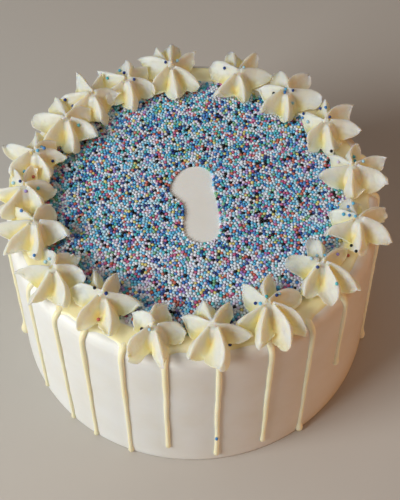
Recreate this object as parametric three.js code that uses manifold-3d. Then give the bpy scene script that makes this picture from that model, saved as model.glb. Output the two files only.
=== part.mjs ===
// A round birthday cake in smooth buttercream: thin icing drips down the side,
// a bed of nonpareils on top with a bare numeral one, and a ring of piped flowers.
// Millimetres, +Z up, origin at the middle of the base, the front of the cake at -Y.
import * as THREE from "three";
import { mergeVertices } from "three/addons/utils/BufferGeometryUtils.js";
import Module from "manifold-3d";

// ---- cake -------------------------------------------------------------------
const BASE_RADIUS = 103;
const TOP_RADIUS = 100;
const CAKE_HEIGHT = 110;
const RIM_ROUND = 7; // radius of the soft upper edge
const RIM_STEPS = 3;
const FOOT_BEVEL = 0.8;
const AROUND = 60; // facets round the cake

// ---- nonpareils -------------------------------------------------------------
const BED_RADIUS = 84;
const BEAD_RADIUS = 0.85;
const BEAD_SUNK = 0.13; // how far a bead's centre lies below the bed
const BEAD_LIFT_SPREAD = 0.1;
const BEAD_PITCH = 8.6; // mean spacing of the beads that stand proud
const BEAD_STRAY = 0.6;
const BEAD_CLEAR_OF_NUMERAL = 2.2;
const BEAD_CLEAR_OF_PETALS = 1.6;
const BED_SEED = 41;

// ---- bare numeral one ---------------------------------------------------------
const NUMERAL_DEPTH = 1.2; // the bare icing lies one layer of beads lower
const NUMERAL_STEPS = 28;
// Half an outline per list: the right side going up, then the left side coming down.
const NUMERAL_RIGHT = [[2.5, -28.4], [8.5, -28], [13, -24], [13.8, -15], [12.6, -1], [10.7, 7], [10.2, 17]];
const NUMERAL_LEFT = [
  [3.5, 21.8], [-4, 20.2], [-9.4, 14], [-12, 6], [-9, 1], [-4.6, -4], [-4.6, -20], [-2.4, -26],
];

// ---- drips ------------------------------------------------------------------
// [degrees round from the front towards +X, height of the lower end, bulb radius, lean in degrees]
const DRIPS = [
  [-75, 21, 2.9, 0], [-58.2, 4.5, 1.5, 0.6], [-45, 1.8, 1.6, 1.5], [-34.3, 2, 1.7, 0.4],
  [-21.6, 1.7, 1.8, 0.2], [-8.8, 17, 1.5, -0.3], [6.6, 8, 1.6, -0.8], [22.2, 11, 1.5, -1.6],
  [36, 2.4, 2.2, -1.6], [50, 48, 2.1, -2.2], [75.4, 2.6, 2.4, 0.5], [91, 23, 1.5, 0.8],
  [106, 3, 1.8, -0.5], [120, 35, 1.6, 1.2], [137, 9, 1.5, -0.6], [152, 2.2, 1.9, 0.9],
  [167, 42, 1.6, -0.8], [-177, 12, 1.5, 0.4], [-162, 2, 1.8, 1.1], [-146, 28, 1.6, -0.9],
  [-129, 4.5, 1.7, 0.5], [-110, 16, 1.5, -0.4], [-93, 2.2, 2, 0.8],
];
const DRIP_START = 92; // radius on the top where a drip comes out of the icing
const DRIP_HALF_WIDTH = 1.4;
const DRIP_CREST = 0.6; // width of the outer face, as a share of the foot's
const DRIP_PROUD = 1.35;
const DRIP_BURIED = 0.5;
const DRIP_BEND = 38; // degrees round the rim where a drip's line bends
const BULB_SCALE = [0.95, 0.95, 1.15];
const BULB_OUT = 0.1; // a bulb's centre stands this share of its radius off the side

// ---- piped flowers ------------------------------------------------------------
// [degrees round from the front, radius of the centre, size, petal tips in degrees from straight outwards]
const FLOWERS = [
  [6, 85.5, 1.01, [-168, -118, -43, -2, 71, 143]],
  [26, 82.5, 1.06, [-164, -82, -37, -3, 32, 94, 148]],
  [52, 82, 1.06, [-151, -82, -40, 0, 81, 134]],
  [74, 89, 0.95, [-140, -80, -17, 50, 114, 174]],
  [97, 87, 1.01, [-170, -100, -38, 12, 72, 126]],
  [119, 86, 0.99, [-161, -112, -41, 14, 60, 114]],
  [140, 84, 1.03, [-142, -60, -2, 47, 108, 170]],
  [161, 84.5, 1.03, [-152, -70, -12, 25, 74, 153]],
  [-173, 86, 1.05, [-177, -130, -50, -8, 18, 58, 130]],
  [-155, 84, 0.96, [-128, -67, -20, 36, 108, 162]],
  [-140, 85, 0.93, [-118, -56, -10, 47, 101, 157]],
  [-125, 84, 1.05, [-175, -105, -34, 22, 90, 135]],
  [-106, 87.5, 0.94, [-164, -120, -67, -12, 63, 135]],
  [-91, 89, 0.94, [-164, -98, -60, 0, 53, 127]],
  [-75, 84.5, 1.07, [-134, -62, -12, 35, 76, 144]],
  [-54, 87.5, 0.95, [-165, -111, -39, 21, 68, 138]],
  [-34, 80.5, 1.02, [-169, -130, -74, -6, 42, 111]],
  [-13, 87.5, 0.88, [-170, -119, -31, 27, 98, 170]],
];
const FLOWER_SEED = 9;
const GAP = 0.32; // clear space kept between flower and icing
const FLOWER_GAP = 0.36; // clear space kept between a flower and the one that it is trimmed by
const FENCE_REACH = 30; // height of the walls that trim flowers
const FLOWER_CORE = [[0, GAP], [6.4, GAP], [4, 5.4], [2.4, 9.4], [0, 10.2]];
const CORE_SIDES = 6;

// Sizes of a petal; each spread is how far a single petal may differ.
const PETAL_START = 1.6; // petals grow out of the core at this radius
const PETAL_LENGTH = 18.7;
const PETAL_LENGTH_SPREAD = 1.4;
const PETAL_OUTWARD_EXTRA = 1.8;
const PETAL_SIDEWAYS_LESS = 1.6;
const PETAL_WIDTH = 12.4;
const PETAL_WIDTH_SPREAD = 2.5;
const PETAL_ROOT_WIDTH = 0.46; // width at the core, as a share of the full one
const PETAL_WIDEST = 0.66; // share of the length where a petal reaches its full width
const PETAL_HEIGHT = 9.6; // rise of the crest above the side edges
const PETAL_HEIGHT_SPREAD = 1.2;
const PETAL_ROOT_HEIGHT = 1.2; // rise at the core, as a share of the full one
const PETAL_FULL_HEIGHT_BY = 0.6; // share of the length over which the crest comes down to its full rise
const PETAL_TIP_HEIGHT = 0.36; // rise at the tip, as a share of the full one
const PETAL_FALL = 3.2; // power with which the crest comes down towards the tip
const PETAL_CREST_TURN = 0.36; // how far the crest moves over with the petal's direction
const PETAL_CREST_SPREAD = 0.22;
const PETAL_CREST_LIMIT = 0.1; // nearest that a crest comes to an edge, as a share of the width
const PETAL_STEEP = 0.5; // width of a steep side, as a share of the rise
const PETAL_KEEL = 1.0; // thickness under the middle
const PETAL_ROOT_FOOT = 0.5; // height of the keel at the core, where a petal stands on the icing
const PETAL_DROOP = 2; // outward tips hang this much at the front and stand as much at the back
const PETAL_LIFT_SPREAD = 1.2;
const PETAL_SWEEP = 2.2; // how far the tip curls round, clockwise seen from above
const PETAL_SWEEP_SPREAD = 2.2;
const PETAL_FOOT = 0.9; // height of a petal's side edges at the core
const PETAL_FOOT_RISE = 1.6; // how much higher they are towards the tip
const PETAL_BLUNTNESS = 5; // power that keeps a petal broad until near its tip
const PETAL_STATIONS = [0, 0.36, 0.72, 0.93];
const PETAL_CORNERS = 4;

const wasm = await Module();
wasm.setup();

// ---- small tools ----------------------------------------------------------------

/** A repeatable stream of numbers from 0 to 1. */
function randomStream(seed) {
  let state = seed >>> 0;
  return () => {
    state = (state + 0x6d2b79f5) >>> 0;
    let mixed = Math.imul(state ^ (state >>> 15), state | 1);
    mixed ^= mixed + Math.imul(mixed ^ (mixed >>> 7), mixed | 61);
    return ((mixed ^ (mixed >>> 14)) >>> 0) / 2 ** 32;
  };
}

/** A number within plus or minus spread. */
function spreadOf(random, spread) {
  return (2 * random() - 1) * spread;
}

function radians(degrees) {
  return THREE.MathUtils.degToRad(degrees);
}

/** Radius of the iced side at a height. */
function sideRadius(height) {
  return THREE.MathUtils.lerp(BASE_RADIUS, TOP_RADIUS, height / CAKE_HEIGHT);
}

/** A point round the cake, an angle from the front towards +X. */
function roundPoint(degrees, radius, height) {
  const angle = radians(degrees);
  return new THREE.Vector3(radius * Math.sin(angle), -radius * Math.cos(angle), height);
}

/** Distance from a point to the stretch between two others. */
function distanceToStretch(point, from, to) {
  const along = to.clone().sub(from);
  const share = THREE.MathUtils.clamp(point.clone().sub(from).dot(along) / along.lengthSq(), 0, 1);
  return point.distanceTo(from.clone().addScaledVector(along, share));
}

function toSolid(geometry) {
  const bare = geometry.clone();
  bare.deleteAttribute("normal");
  bare.deleteAttribute("uv");
  const merged = mergeVertices(bare, 1e-4);
  return new wasm.Manifold(new wasm.Mesh({
    numProp: 3,
    vertProperties: new Float32Array(merged.attributes.position.array),
    triVerts: new Uint32Array(merged.index.array),
  }));
}

function toGeometry(solid) {
  const mesh = solid.getMesh();
  const geometry = new THREE.BufferGeometry();
  geometry.setAttribute("position", new THREE.BufferAttribute(new Float32Array(mesh.vertProperties), 3));
  geometry.setIndex(new THREE.BufferAttribute(new Uint32Array(mesh.triVerts), 1));
  geometry.computeVertexNormals();
  return geometry;
}

/** Joins solids two by two, which keeps each join small. */
function joinAll(solids) {
  let pool = solids;
  while (pool.length > 1) {
    const next = [];
    for (let i = 0; i < pool.length; i += 2) {
      next.push(i + 1 < pool.length ? pool[i].add(pool[i + 1]) : pool[i]);
    }
    pool = next;
  }
  return pool[0];
}

/** The largest connected body of a solid: what a cut leaves loose is dropped. */
function largestBody(solid) {
  const bodies = solid.decompose();
  return bodies.reduce((best, body) => (body.volume() > best.volume() ? body : best));
}

/** A solid of revolution about +Z from [radius, height] points that run upwards on the outside. */
function turned(profile, segments) {
  const lathe = new THREE.LatheGeometry(profile.map(([r, z]) => new THREE.Vector2(r, z)), segments);
  lathe.rotateX(Math.PI / 2);
  return toSolid(lathe);
}

/**
 * A closed skin over rings of points laid one after another, both ends capped with fans.
 * The quads split to alternate sides, which keeps the faces of a curled petal apart.
 */
function sweptGeometry(positions, ringSize) {
  const last = positions.length / 3 - ringSize;
  const index = [];
  for (let ring = 0; ring < last; ring += ringSize) {
    for (let i = 0; i < ringSize; i++) {
      const a = ring + i;
      const b = ring + ((i + 1) % ringSize);
      const [a2, b2] = [a + ringSize, b + ringSize];
      index.push(...(i % 2 ? [a, b, a2, b, b2, a2] : [a, b, b2, a, b2, a2]));
    }
  }
  for (let i = 1; i + 1 < ringSize; i++) {
    index.push(0, i + 1, i, last, last + i, last + i + 1);
  }
  const geometry = new THREE.BufferGeometry();
  geometry.setAttribute("position", new THREE.BufferAttribute(new Float32Array(positions), 3));
  geometry.setIndex(index);
  return geometry;
}

// ---- cake body -----------------------------------------------------------------

/** The rounded upper edge as [radius, height] points, from the side up to the top. */
function rimArc() {
  return Array.from({ length: RIM_STEPS + 1 }, (_, i) => {
    const angle = (i / RIM_STEPS) * (Math.PI / 2);
    return [
      TOP_RADIUS - RIM_ROUND * (1 - Math.cos(angle)),
      CAKE_HEIGHT - RIM_ROUND * (1 - Math.sin(angle)),
    ];
  });
}

function cakeBody() {
  const foot = [[0, 0], [BASE_RADIUS - FOOT_BEVEL, 0], [BASE_RADIUS, FOOT_BEVEL]];
  return turned([...foot, ...rimArc(), [0, CAKE_HEIGHT]], AROUND);
}

// ---- drips --------------------------------------------------------------------

/** A drip's line over the rim and down the side, with four corners all along it. */
function dripLine([degrees, endHeight, , lean], allowance = 0) {
  const bend = radians(DRIP_BEND);
  const stations = [
    [DRIP_START, CAKE_HEIGHT - DRIP_PROUD - DRIP_BURIED],
    [TOP_RADIUS - RIM_ROUND * (1 - Math.sin(bend)), CAKE_HEIGHT - RIM_ROUND * (1 - Math.cos(bend))],
    [sideRadius(CAKE_HEIGHT - RIM_ROUND), CAKE_HEIGHT - RIM_ROUND],
    [sideRadius(endHeight), endHeight],
  ];
  const foot = DRIP_HALF_WIDTH + allowance;
  const crest = DRIP_HALF_WIDTH * DRIP_CREST + allowance;
  const proud = DRIP_PROUD + allowance;
  const section = [[-foot, -DRIP_BURIED], [foot, -DRIP_BURIED], [crest, proud], [-crest, proud]];
  const positions = stations.flatMap(([radius, height], i) => {
    const before = stations[Math.max(i - 1, 0)];
    const after = stations[Math.min(i + 1, stations.length - 1)];
    const run = new THREE.Vector2(after[0] - before[0], after[1] - before[1]).normalize();
    const turn = degrees + lean * (1 - height / CAKE_HEIGHT);
    return section.flatMap(([across, out]) => {
      const at = roundPoint(turn, radius - run.y * out, height + run.x * out);
      const side = roundPoint(turn + 90, across, 0);
      return at.add(side).toArray();
    });
  });
  return toSolid(sweptGeometry(positions, section.length));
}

/** The bulb that a drip ends in. */
function dripBulb([degrees, endHeight, bulbRadius, lean]) {
  const bulb = new THREE.SphereGeometry(bulbRadius, 6, 3);
  bulb.rotateX(Math.PI / 2);
  bulb.scale(...BULB_SCALE);
  bulb.rotateZ(radians(degrees + lean));
  const radius = sideRadius(endHeight) + BULB_OUT * bulbRadius;
  bulb.translate(...roundPoint(degrees + lean, radius, endHeight).toArray());
  return toSolid(bulb);
}

// ---- nonpareil bed ---------------------------------------------------------------

function numeralOutline() {
  const points = [...NUMERAL_RIGHT, ...NUMERAL_LEFT].map(([x, y]) => new THREE.Vector3(x, y, 0));
  const curve = new THREE.CatmullRomCurve3(points, true, "centripetal");
  return curve.getSpacedPoints(NUMERAL_STEPS).slice(0, -1).map((p) => new THREE.Vector2(p.x, p.y));
}

/** The cutter that sinks the bare numeral into the bed. */
function numeralRecess(numeral) {
  const depth = 2 * NUMERAL_DEPTH;
  const recess = new THREE.ExtrudeGeometry(new THREE.Shape(numeral), { depth, bevelEnabled: false });
  recess.translate(0, 0, CAKE_HEIGHT - NUMERAL_DEPTH);
  return toSolid(recess);
}

/** Distance from a point to a closed outline, negative inside it. */
function distanceToOutline(point, outline) {
  let nearest = Infinity;
  let inside = false;
  outline.forEach((a, i) => {
    const b = outline[(i + 1) % outline.length];
    nearest = Math.min(nearest, distanceToStretch(point, a, b));
    const crosses = a.y > point.y !== b.y > point.y;
    if (crosses && point.x < a.x + ((point.y - a.y) / (b.y - a.y)) * (b.x - a.x)) inside = !inside;
  });
  return inside ? -nearest : nearest;
}

/** Beads that stand proud of the bed, on a sunflower spiral, clear of numeral and petals. */
function beadSolids(numeral, petalLines) {
  const random = randomStream(BED_SEED);
  const goldenAngle = Math.PI * (3 - Math.sqrt(5));
  const count = Math.floor((Math.PI * BED_RADIUS ** 2) / BEAD_PITCH ** 2);
  const beads = [];
  for (let i = 0; i < count; i++) {
    const radius = BED_RADIUS * Math.sqrt((i + 0.5) / count);
    const at = new THREE.Vector2(radius, 0).rotateAround(new THREE.Vector2(), i * goldenAngle);
    at.x += spreadOf(random, BEAD_STRAY);
    at.y += spreadOf(random, BEAD_STRAY);
    const turn = 2 * Math.PI * random();
    const lift = spreadOf(random, BEAD_LIFT_SPREAD);
    if (at.length() > BED_RADIUS - 2 * BEAD_RADIUS) continue;
    if (distanceToOutline(at, numeral) < BEAD_CLEAR_OF_NUMERAL) continue;
    if (petalLines.some((line) => line.distanceTo(at) < line.halfWidth + BEAD_CLEAR_OF_PETALS)) continue;
    const bead = new THREE.OctahedronGeometry(BEAD_RADIUS, 0);
    bead.rotateX(Math.PI / 2);
    bead.rotateZ(turn);
    bead.translate(at.x, at.y, CAKE_HEIGHT - BEAD_SUNK + lift);
    beads.push(toSolid(bead));
  }
  return beads;
}

// ---- flowers ---------------------------------------------------------------------

/** What each petal of a flower is like: its bearing on the cake and its own irregularities. */
function drawPetals([degrees, , size, bearings], random) {
  const outward = radians(degrees) - Math.PI / 2;
  return bearings.map((bearing) => {
    const off = radians(bearing);
    const length = PETAL_LENGTH + PETAL_OUTWARD_EXTRA * Math.cos(off)
      - PETAL_SIDEWAYS_LESS * Math.sin(off) ** 2;
    const droop = PETAL_DROOP * Math.cos(off) * Math.cos(radians(degrees));
    const petal = {
      length: size * (length + spreadOf(random, PETAL_LENGTH_SPREAD)),
      width: PETAL_WIDTH + spreadOf(random, PETAL_WIDTH_SPREAD),
      height: PETAL_HEIGHT + spreadOf(random, PETAL_HEIGHT_SPREAD),
      tipLift: spreadOf(random, PETAL_LIFT_SPREAD) - droop,
      crest: crestPlace(outward + off, spreadOf(random, PETAL_CREST_SPREAD)),
      sweep: PETAL_SWEEP + spreadOf(random, PETAL_SWEEP_SPREAD),
    };
    const tip = petalStation(petal, 1);
    return { ...petal, bearing: outward + off - Math.atan2(tip.y, tip.x) };
  });
}

/** Where the crest runs on a petal that points in a direction: share of the width from the clockwise edge. */
function crestPlace(direction, shift) {
  const side = Math.cos(direction);
  const place = 0.5 + PETAL_CREST_TURN * Math.sign(side) * Math.sqrt(Math.abs(side)) + shift;
  return THREE.MathUtils.clamp(place, PETAL_CREST_LIMIT, 1 - PETAL_CREST_LIMIT);
}

/** The crest of a petal in plan, the height of its edges, its rise and its width at a share of its length. */
function petalStation(petal, share) {
  const { lerp, smoothstep } = THREE.MathUtils;
  const rise = petal.height * lerp(PETAL_ROOT_HEIGHT, 1, smoothstep(share, 0, PETAL_FULL_HEIGHT_BY));
  const full = petal.width * lerp(PETAL_ROOT_WIDTH, 1, smoothstep(share, 0, PETAL_WIDEST));
  const width = full * Math.sqrt(1 - share ** PETAL_BLUNTNESS);
  return {
    width,
    x: PETAL_START + (petal.length - PETAL_START) * share,
    y: (petal.crest - 0.5) * width - petal.sweep * share ** 2,
    edge: PETAL_FOOT + PETAL_FOOT_RISE * share + petal.tipLift * share ** 3,
    rise: rise * (1 - (1 - PETAL_TIP_HEIGHT) * share ** PETAL_FALL),
  };
}

/** One petal: a ridge with a broad side and a steep side, and a shallow keel under it. */
function petalGeometry(petal) {
  const positions = PETAL_STATIONS.flatMap((share) => {
    const { x, y, edge, rise, width } = petalStation(petal, share);
    const [left, right] = [1 - petal.crest, petal.crest].map((part) => (
      { across: part * width, z: edge + rise * (1 - Math.min(1, (part * width) / (PETAL_STEEP * rise))) }
    ));
    const keel = (left.z + right.z) / 2 - PETAL_KEEL;
    return [
      x, y + left.across, left.z,
      x, y, edge + rise,
      x, y - right.across, right.z,
      x, y + (left.across - right.across) / 2, THREE.MathUtils.lerp(PETAL_ROOT_FOOT, keel, Math.min(2.2 * share, 1)),
    ];
  });
  const tip = petalStation(petal, 1);
  const tipRing = Array.from({ length: PETAL_CORNERS }, () => [tip.x, tip.y, tip.edge + tip.rise / 2]);
  return sweptGeometry([...positions, ...tipRing.flat()], PETAL_CORNERS);
}

/** Petals and core of one flower joined, in its own frame. */
function flowerSolid(petals) {
  const blades = petals.map((petal) => toSolid(petalGeometry(petal).rotateZ(petal.bearing)));
  return joinAll([turned(FLOWER_CORE, CORE_SIDES), ...blades]);
}

/** Upright walls a little outside a flower's outline in plan, which trim the flower beside it. */
function flowerFence(petals) {
  const fences = petals.map((petal) => {
    const stations = PETAL_STATIONS.map((share) => {
      const { x, y, width } = petalStation(petal, share);
      return { x: x + FLOWER_GAP * share, y, width };
    });
    const tip = petalStation(petal, 1);
    const outline = [
      ...stations.map(({ x, y, width }) => [x, y - petal.crest * width - FLOWER_GAP]),
      [tip.x + FLOWER_GAP, tip.y - FLOWER_GAP], [tip.x + FLOWER_GAP, tip.y + FLOWER_GAP],
      ...stations.reverse().map(({ x, y, width }) => [x, y + (1 - petal.crest) * width + FLOWER_GAP]),
    ];
    const shape = new THREE.Shape(outline.map(([x, y]) => new THREE.Vector2(x, y)));
    const fence = new THREE.ExtrudeGeometry(shape, { depth: FENCE_REACH, bevelEnabled: false });
    return toSolid(fence.translate(0, 0, -FENCE_REACH / 2).rotateZ(petal.bearing));
  });
  const core = new THREE.CylinderGeometry(
    FLOWER_CORE[1][0] + FLOWER_GAP, FLOWER_CORE[1][0] + FLOWER_GAP, FENCE_REACH, 2 * CORE_SIDES,
  );
  return joinAll([toSolid(core.rotateX(Math.PI / 2)), ...fences]);
}

/** Where a petal lies in plan, for keeping beads away from it. */
function petalLine(petal, centre) {
  const middle = new THREE.Vector2(centre.x, centre.y);
  const [root, belly, tip] = [0, 0.5, 1].map((share) => {
    const { x } = petalStation(petal, share);
    return new THREE.Vector2(x, -petal.sweep * share ** 2)
      .rotateAround(new THREE.Vector2(), petal.bearing).add(middle);
  });
  return {
    halfWidth: petal.width / 2,
    distanceTo: (at) => Math.min(distanceToStretch(at, root, belly), distanceToStretch(at, belly, tip)),
  };
}

// ---- assembly --------------------------------------------------------------------

const buttercream = new THREE.MeshStandardMaterial({ color: 0xefe8d8, roughness: 0.5, metalness: 0 });
const pipedCream = new THREE.MeshStandardMaterial({ color: 0xf6f0dc, roughness: 0.45, metalness: 0 });

const petalRandom = randomStream(FLOWER_SEED);
const flowerPlans = FLOWERS.map((flower) => {
  const [degrees, radius] = flower;
  return { centre: roundPoint(degrees, radius, CAKE_HEIGHT), petals: drawPetals(flower, petalRandom) };
});

/** Cake, drips and beads as one solid, cut off flat at the height it stands on. */
function icedCake() {
  const numeral = numeralOutline();
  const petalLines = flowerPlans.flatMap(({ petals, centre }) => petals.map((p) => petalLine(p, centre)));
  const drips = DRIPS.flatMap((drip) => [dripLine(drip), dripBulb(drip)]);
  const below = new THREE.BoxGeometry(3 * BASE_RADIUS, 3 * BASE_RADIUS, CAKE_HEIGHT);
  below.translate(0, 0, -CAKE_HEIGHT / 2);
  const standing = joinAll([cakeBody(), ...drips]).subtract(toSolid(below));
  return joinAll([standing.subtract(numeralRecess(numeral)), ...beadSolids(numeral, petalLines)]);
}

/** The flowers in order round the cake, each trimmed clear of the icing and of the one before it. */
function pipedFlowers() {
  const icing = joinAll([cakeBody().translate([0, 0, GAP]), ...DRIPS.map((drip) => dripLine(drip, GAP))]);
  const whole = flowerPlans.map(({ petals, centre }) => flowerSolid(petals).translate(centre.toArray()));
  const fences = flowerPlans.map(({ petals, centre }) => flowerFence(petals).translate(centre.toArray()));
  const lastPlace = whole.length - 1;
  return whole.map((solid, i) => {
    const cutters = [icing, ...(i > 0 ? [fences[i - 1]] : []), ...(i === lastPlace ? [fences[0]] : [])];
    const trimmed = cutters.reduce((rest, cutter) => rest.subtract(cutter), solid);
    const { x, y, z } = flowerPlans[i].centre;
    return toGeometry(largestBody(trimmed)).translate(-x, -y, -z);
  });
}

const cake = new THREE.Group();
const icedMesh = new THREE.Mesh(toGeometry(icedCake()), buttercream);
icedMesh.name = "iced_cake";
cake.add(icedMesh);

const flowerRing = new THREE.Group();
pipedFlowers().forEach((geometry, i) => {
  const flower = new THREE.Mesh(geometry, pipedCream);
  flower.name = `flower_${String(i + 1).padStart(2, "0")}`;
  flower.position.copy(flowerPlans[i].centre);
  flowerRing.add(flower);
});
cake.add(flowerRing);

export default cake;
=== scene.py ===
"""A round birthday cake in smooth buttercream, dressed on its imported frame.

The cake carries thin icing drips down its side, one layer of nonpareils round a bare
numeral one, and a ring of eighteen piped flowers. Lengths are millimetres, +Z is up,
the origin is the middle of the base and the front of the cake is at -Y. They turn into
metres where a piece is finished.
"""

from __future__ import annotations

import logging
import math
from collections.abc import Sequence
from dataclasses import dataclass, field, fields, replace
from enum import Enum
from typing import Any

import bpy
import numpy as np
from mathutils import Matrix, Vector, noise
from mathutils.bvhtree import BVHTree
from mathutils.kdtree import KDTree

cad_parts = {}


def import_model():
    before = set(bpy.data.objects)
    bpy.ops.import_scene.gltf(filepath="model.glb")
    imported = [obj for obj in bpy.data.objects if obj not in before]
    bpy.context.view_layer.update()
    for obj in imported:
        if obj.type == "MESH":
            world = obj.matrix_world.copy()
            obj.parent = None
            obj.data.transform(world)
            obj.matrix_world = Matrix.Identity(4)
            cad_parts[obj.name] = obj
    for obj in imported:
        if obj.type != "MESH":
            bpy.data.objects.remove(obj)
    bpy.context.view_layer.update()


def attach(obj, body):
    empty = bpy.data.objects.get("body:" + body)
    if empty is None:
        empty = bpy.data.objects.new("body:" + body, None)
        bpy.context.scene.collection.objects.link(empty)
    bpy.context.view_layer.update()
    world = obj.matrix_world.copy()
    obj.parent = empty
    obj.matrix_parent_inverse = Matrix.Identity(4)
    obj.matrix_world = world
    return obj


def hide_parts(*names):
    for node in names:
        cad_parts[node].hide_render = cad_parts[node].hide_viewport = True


LOG = logging.getLogger("birthday_cake")
METRES = 0.001
BLACK = (0.0, 0.0, 0.0)
BODY = "root"
CAKE_NODE = "iced_cake"
GOLDEN_ANGLE = math.pi * (3 - math.sqrt(5))
TINY = 1e-6

Colour = tuple[float, float, float]
Point = tuple[float, float, float]
Face = tuple[int, ...]
Shape = tuple[np.ndarray, list[Face]]


# ---- small tools ---------------------------------------------------------------------


def from_screen(red: float, green: float, blue: float) -> Colour:
    """Turns a colour as seen on a screen, 0 to 255, into linear light.

    Args:
        red: Red share.
        green: Green share.
        blue: Blue share.

    Returns:
        The three linear shares from 0 to 1.
    """

    def linear(value: float) -> float:
        """Returns one share in linear light."""
        share = value / 255
        return share / 12.92 if share <= 0.04045 else ((share + 0.055) / 1.055) ** 2.4

    return linear(red), linear(green), linear(blue)


def mix(low: float, high: float, share: float) -> float:
    """Returns the value at a share of the way from low to high."""
    return low + (high - low) * share


def smooth_step(value: Any, low: float, high: float) -> Any:
    """Returns 0 below low, 1 above high and a smooth rise between, for numbers and arrays."""
    share = np.clip((value - low) / (high - low), 0, 1)
    return share * share * (3 - 2 * share)


def unit(vectors: np.ndarray) -> np.ndarray:
    """Returns vectors along the last axis scaled to length one."""
    return vectors / np.maximum(np.linalg.norm(vectors, axis=-1, keepdims=True), 1e-9)


def round_point(degrees: float, radius: float, height: float) -> np.ndarray:
    """Places a point round the cake.

    Args:
        degrees: Turn from the front towards +X.
        radius: Distance from the axis of the cake.
        height: Height above the base.

    Returns:
        The point as x, y, z.
    """
    angle = math.radians(degrees)
    return np.array([radius * math.sin(angle), -radius * math.cos(angle), height])


def ripple(points: np.ndarray, wavelength: float, seed: float = 0.0) -> np.ndarray:
    """Samples smooth noise at points.

    Args:
        points: Points in millimetres, one a row.
        wavelength: Size of the noise's features.
        seed: Shift that picks another pattern.

    Returns:
        One value from about -1 to 1 for each point.
    """
    scaled = points / wavelength + seed
    return np.array([noise.noise(Vector(p)) for p in scaled])


class RandomStream:
    """A repeatable stream of numbers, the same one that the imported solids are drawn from."""

    WORD = 0xFFFFFFFF
    STEP = 0x6D2B79F5

    def __init__(self, seed: int) -> None:
        """Starts the stream.

        Args:
            seed: Whole number that picks the stream.
        """
        self.state = seed & self.WORD

    def draw(self) -> float:
        """Returns the next number from 0 to 1."""
        self.state = (self.state + self.STEP) & self.WORD
        mixed = ((self.state ^ (self.state >> 15)) * (self.state | 1)) & self.WORD
        mixed ^= (mixed + ((mixed ^ (mixed >> 7)) * (mixed | 61) & self.WORD)) & self.WORD
        return ((mixed ^ (mixed >> 14)) & self.WORD) / 2**32

    def spread(self, amount: float) -> float:
        """Returns a number within plus or minus amount."""
        return (2 * self.draw() - 1) * amount


# ---- meshes and objects ----------------------------------------------------------------


def mesh_from(name: str, points: np.ndarray, faces: Sequence[Sequence[int]]) -> bpy.types.Mesh:
    """Makes a smooth-shaded mesh in millimetres.

    Args:
        name: Name of the mesh.
        points: Corner points, one a row.
        faces: Corner numbers of each face.

    Returns:
        The new mesh.
    """
    mesh = bpy.data.meshes.new(name)
    mesh.from_pydata([tuple(p) for p in points.tolist()], [], [tuple(f) for f in faces])
    mesh.update()
    mesh.shade_smooth()
    return mesh


def show(mesh: bpy.types.Mesh, name: str) -> bpy.types.Object:
    """Links a mesh to the scene as an object at the origin.

    Args:
        mesh: Mesh to show.
        name: Name of the object.

    Returns:
        The object.
    """
    made = bpy.data.objects.new(name, mesh)
    bpy.context.scene.collection.objects.link(made)
    return made


def vertices_of(mesh: bpy.types.Mesh) -> np.ndarray:
    """Reads the vertices of a mesh.

    Args:
        mesh: Mesh to read.

    Returns:
        Its vertices, one a row.
    """
    flat = np.empty(3 * len(mesh.vertices), dtype=np.float32)
    mesh.vertices.foreach_get("co", flat)
    return flat.reshape(-1, 3).astype(float)


def normals_of(mesh: bpy.types.Mesh) -> np.ndarray:
    """Reads the vertex normals of a mesh.

    Args:
        mesh: Mesh to read.

    Returns:
        Its normals, one a row.
    """
    flat = np.empty(3 * len(mesh.vertices), dtype=np.float32)
    mesh.vertex_normals.foreach_get("vector", flat)
    return flat.reshape(-1, 3).astype(float)


def shape_of(mesh: bpy.types.Mesh) -> Shape:
    """Returns the vertices and the faces of a mesh."""
    return vertices_of(mesh), [tuple(face.vertices) for face in mesh.polygons]


def edges_of(mesh: bpy.types.Mesh) -> np.ndarray:
    """Reads the edges of a mesh.

    Args:
        mesh: Mesh to read.

    Returns:
        The two vertex numbers of each edge, one edge a row.
    """
    flat = np.empty(2 * len(mesh.edges), dtype=np.int32)
    mesh.edges.foreach_get("vertices", flat)
    return flat.reshape(-1, 2)


def move_vertices(mesh: bpy.types.Mesh, points: np.ndarray) -> None:
    """Moves the vertices of a mesh.

    Args:
        mesh: Mesh to change.
        points: New places, one a row.
    """
    mesh.vertices.foreach_set("co", points.astype(np.float32).ravel())
    mesh.update()


def averaged(values: np.ndarray, edges: np.ndarray, rounds: int, share: float = 0.5) -> np.ndarray:
    """Smooths values over the edges of a mesh.

    Args:
        values: One value or vector for each vertex.
        edges: Vertex pairs.
        rounds: How often to smooth.
        share: How far each value moves to its neighbours' mean.

    Returns:
        The smoothed values.
    """
    flat = values.reshape(len(values), -1).astype(float)
    count = np.bincount(edges.ravel(), minlength=len(flat))[:, None]
    for _ in range(rounds):
        total = np.zeros_like(flat)
        np.add.at(total, edges[:, 0], flat[edges[:, 1]])
        np.add.at(total, edges[:, 1], flat[edges[:, 0]])
        flat = mix(flat, total / np.maximum(count, 1), share)
    return flat.reshape(values.shape)


def paint(mesh: bpy.types.Mesh, name: str, values: np.ndarray) -> None:
    """Stores one number for each vertex of a mesh.

    Args:
        mesh: Mesh to paint.
        name: Name of the attribute.
        values: One value a vertex.
    """
    layer = mesh.attributes.new(name, "FLOAT", "POINT")
    layer.data.foreach_set("value", values.astype(np.float32))


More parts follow.
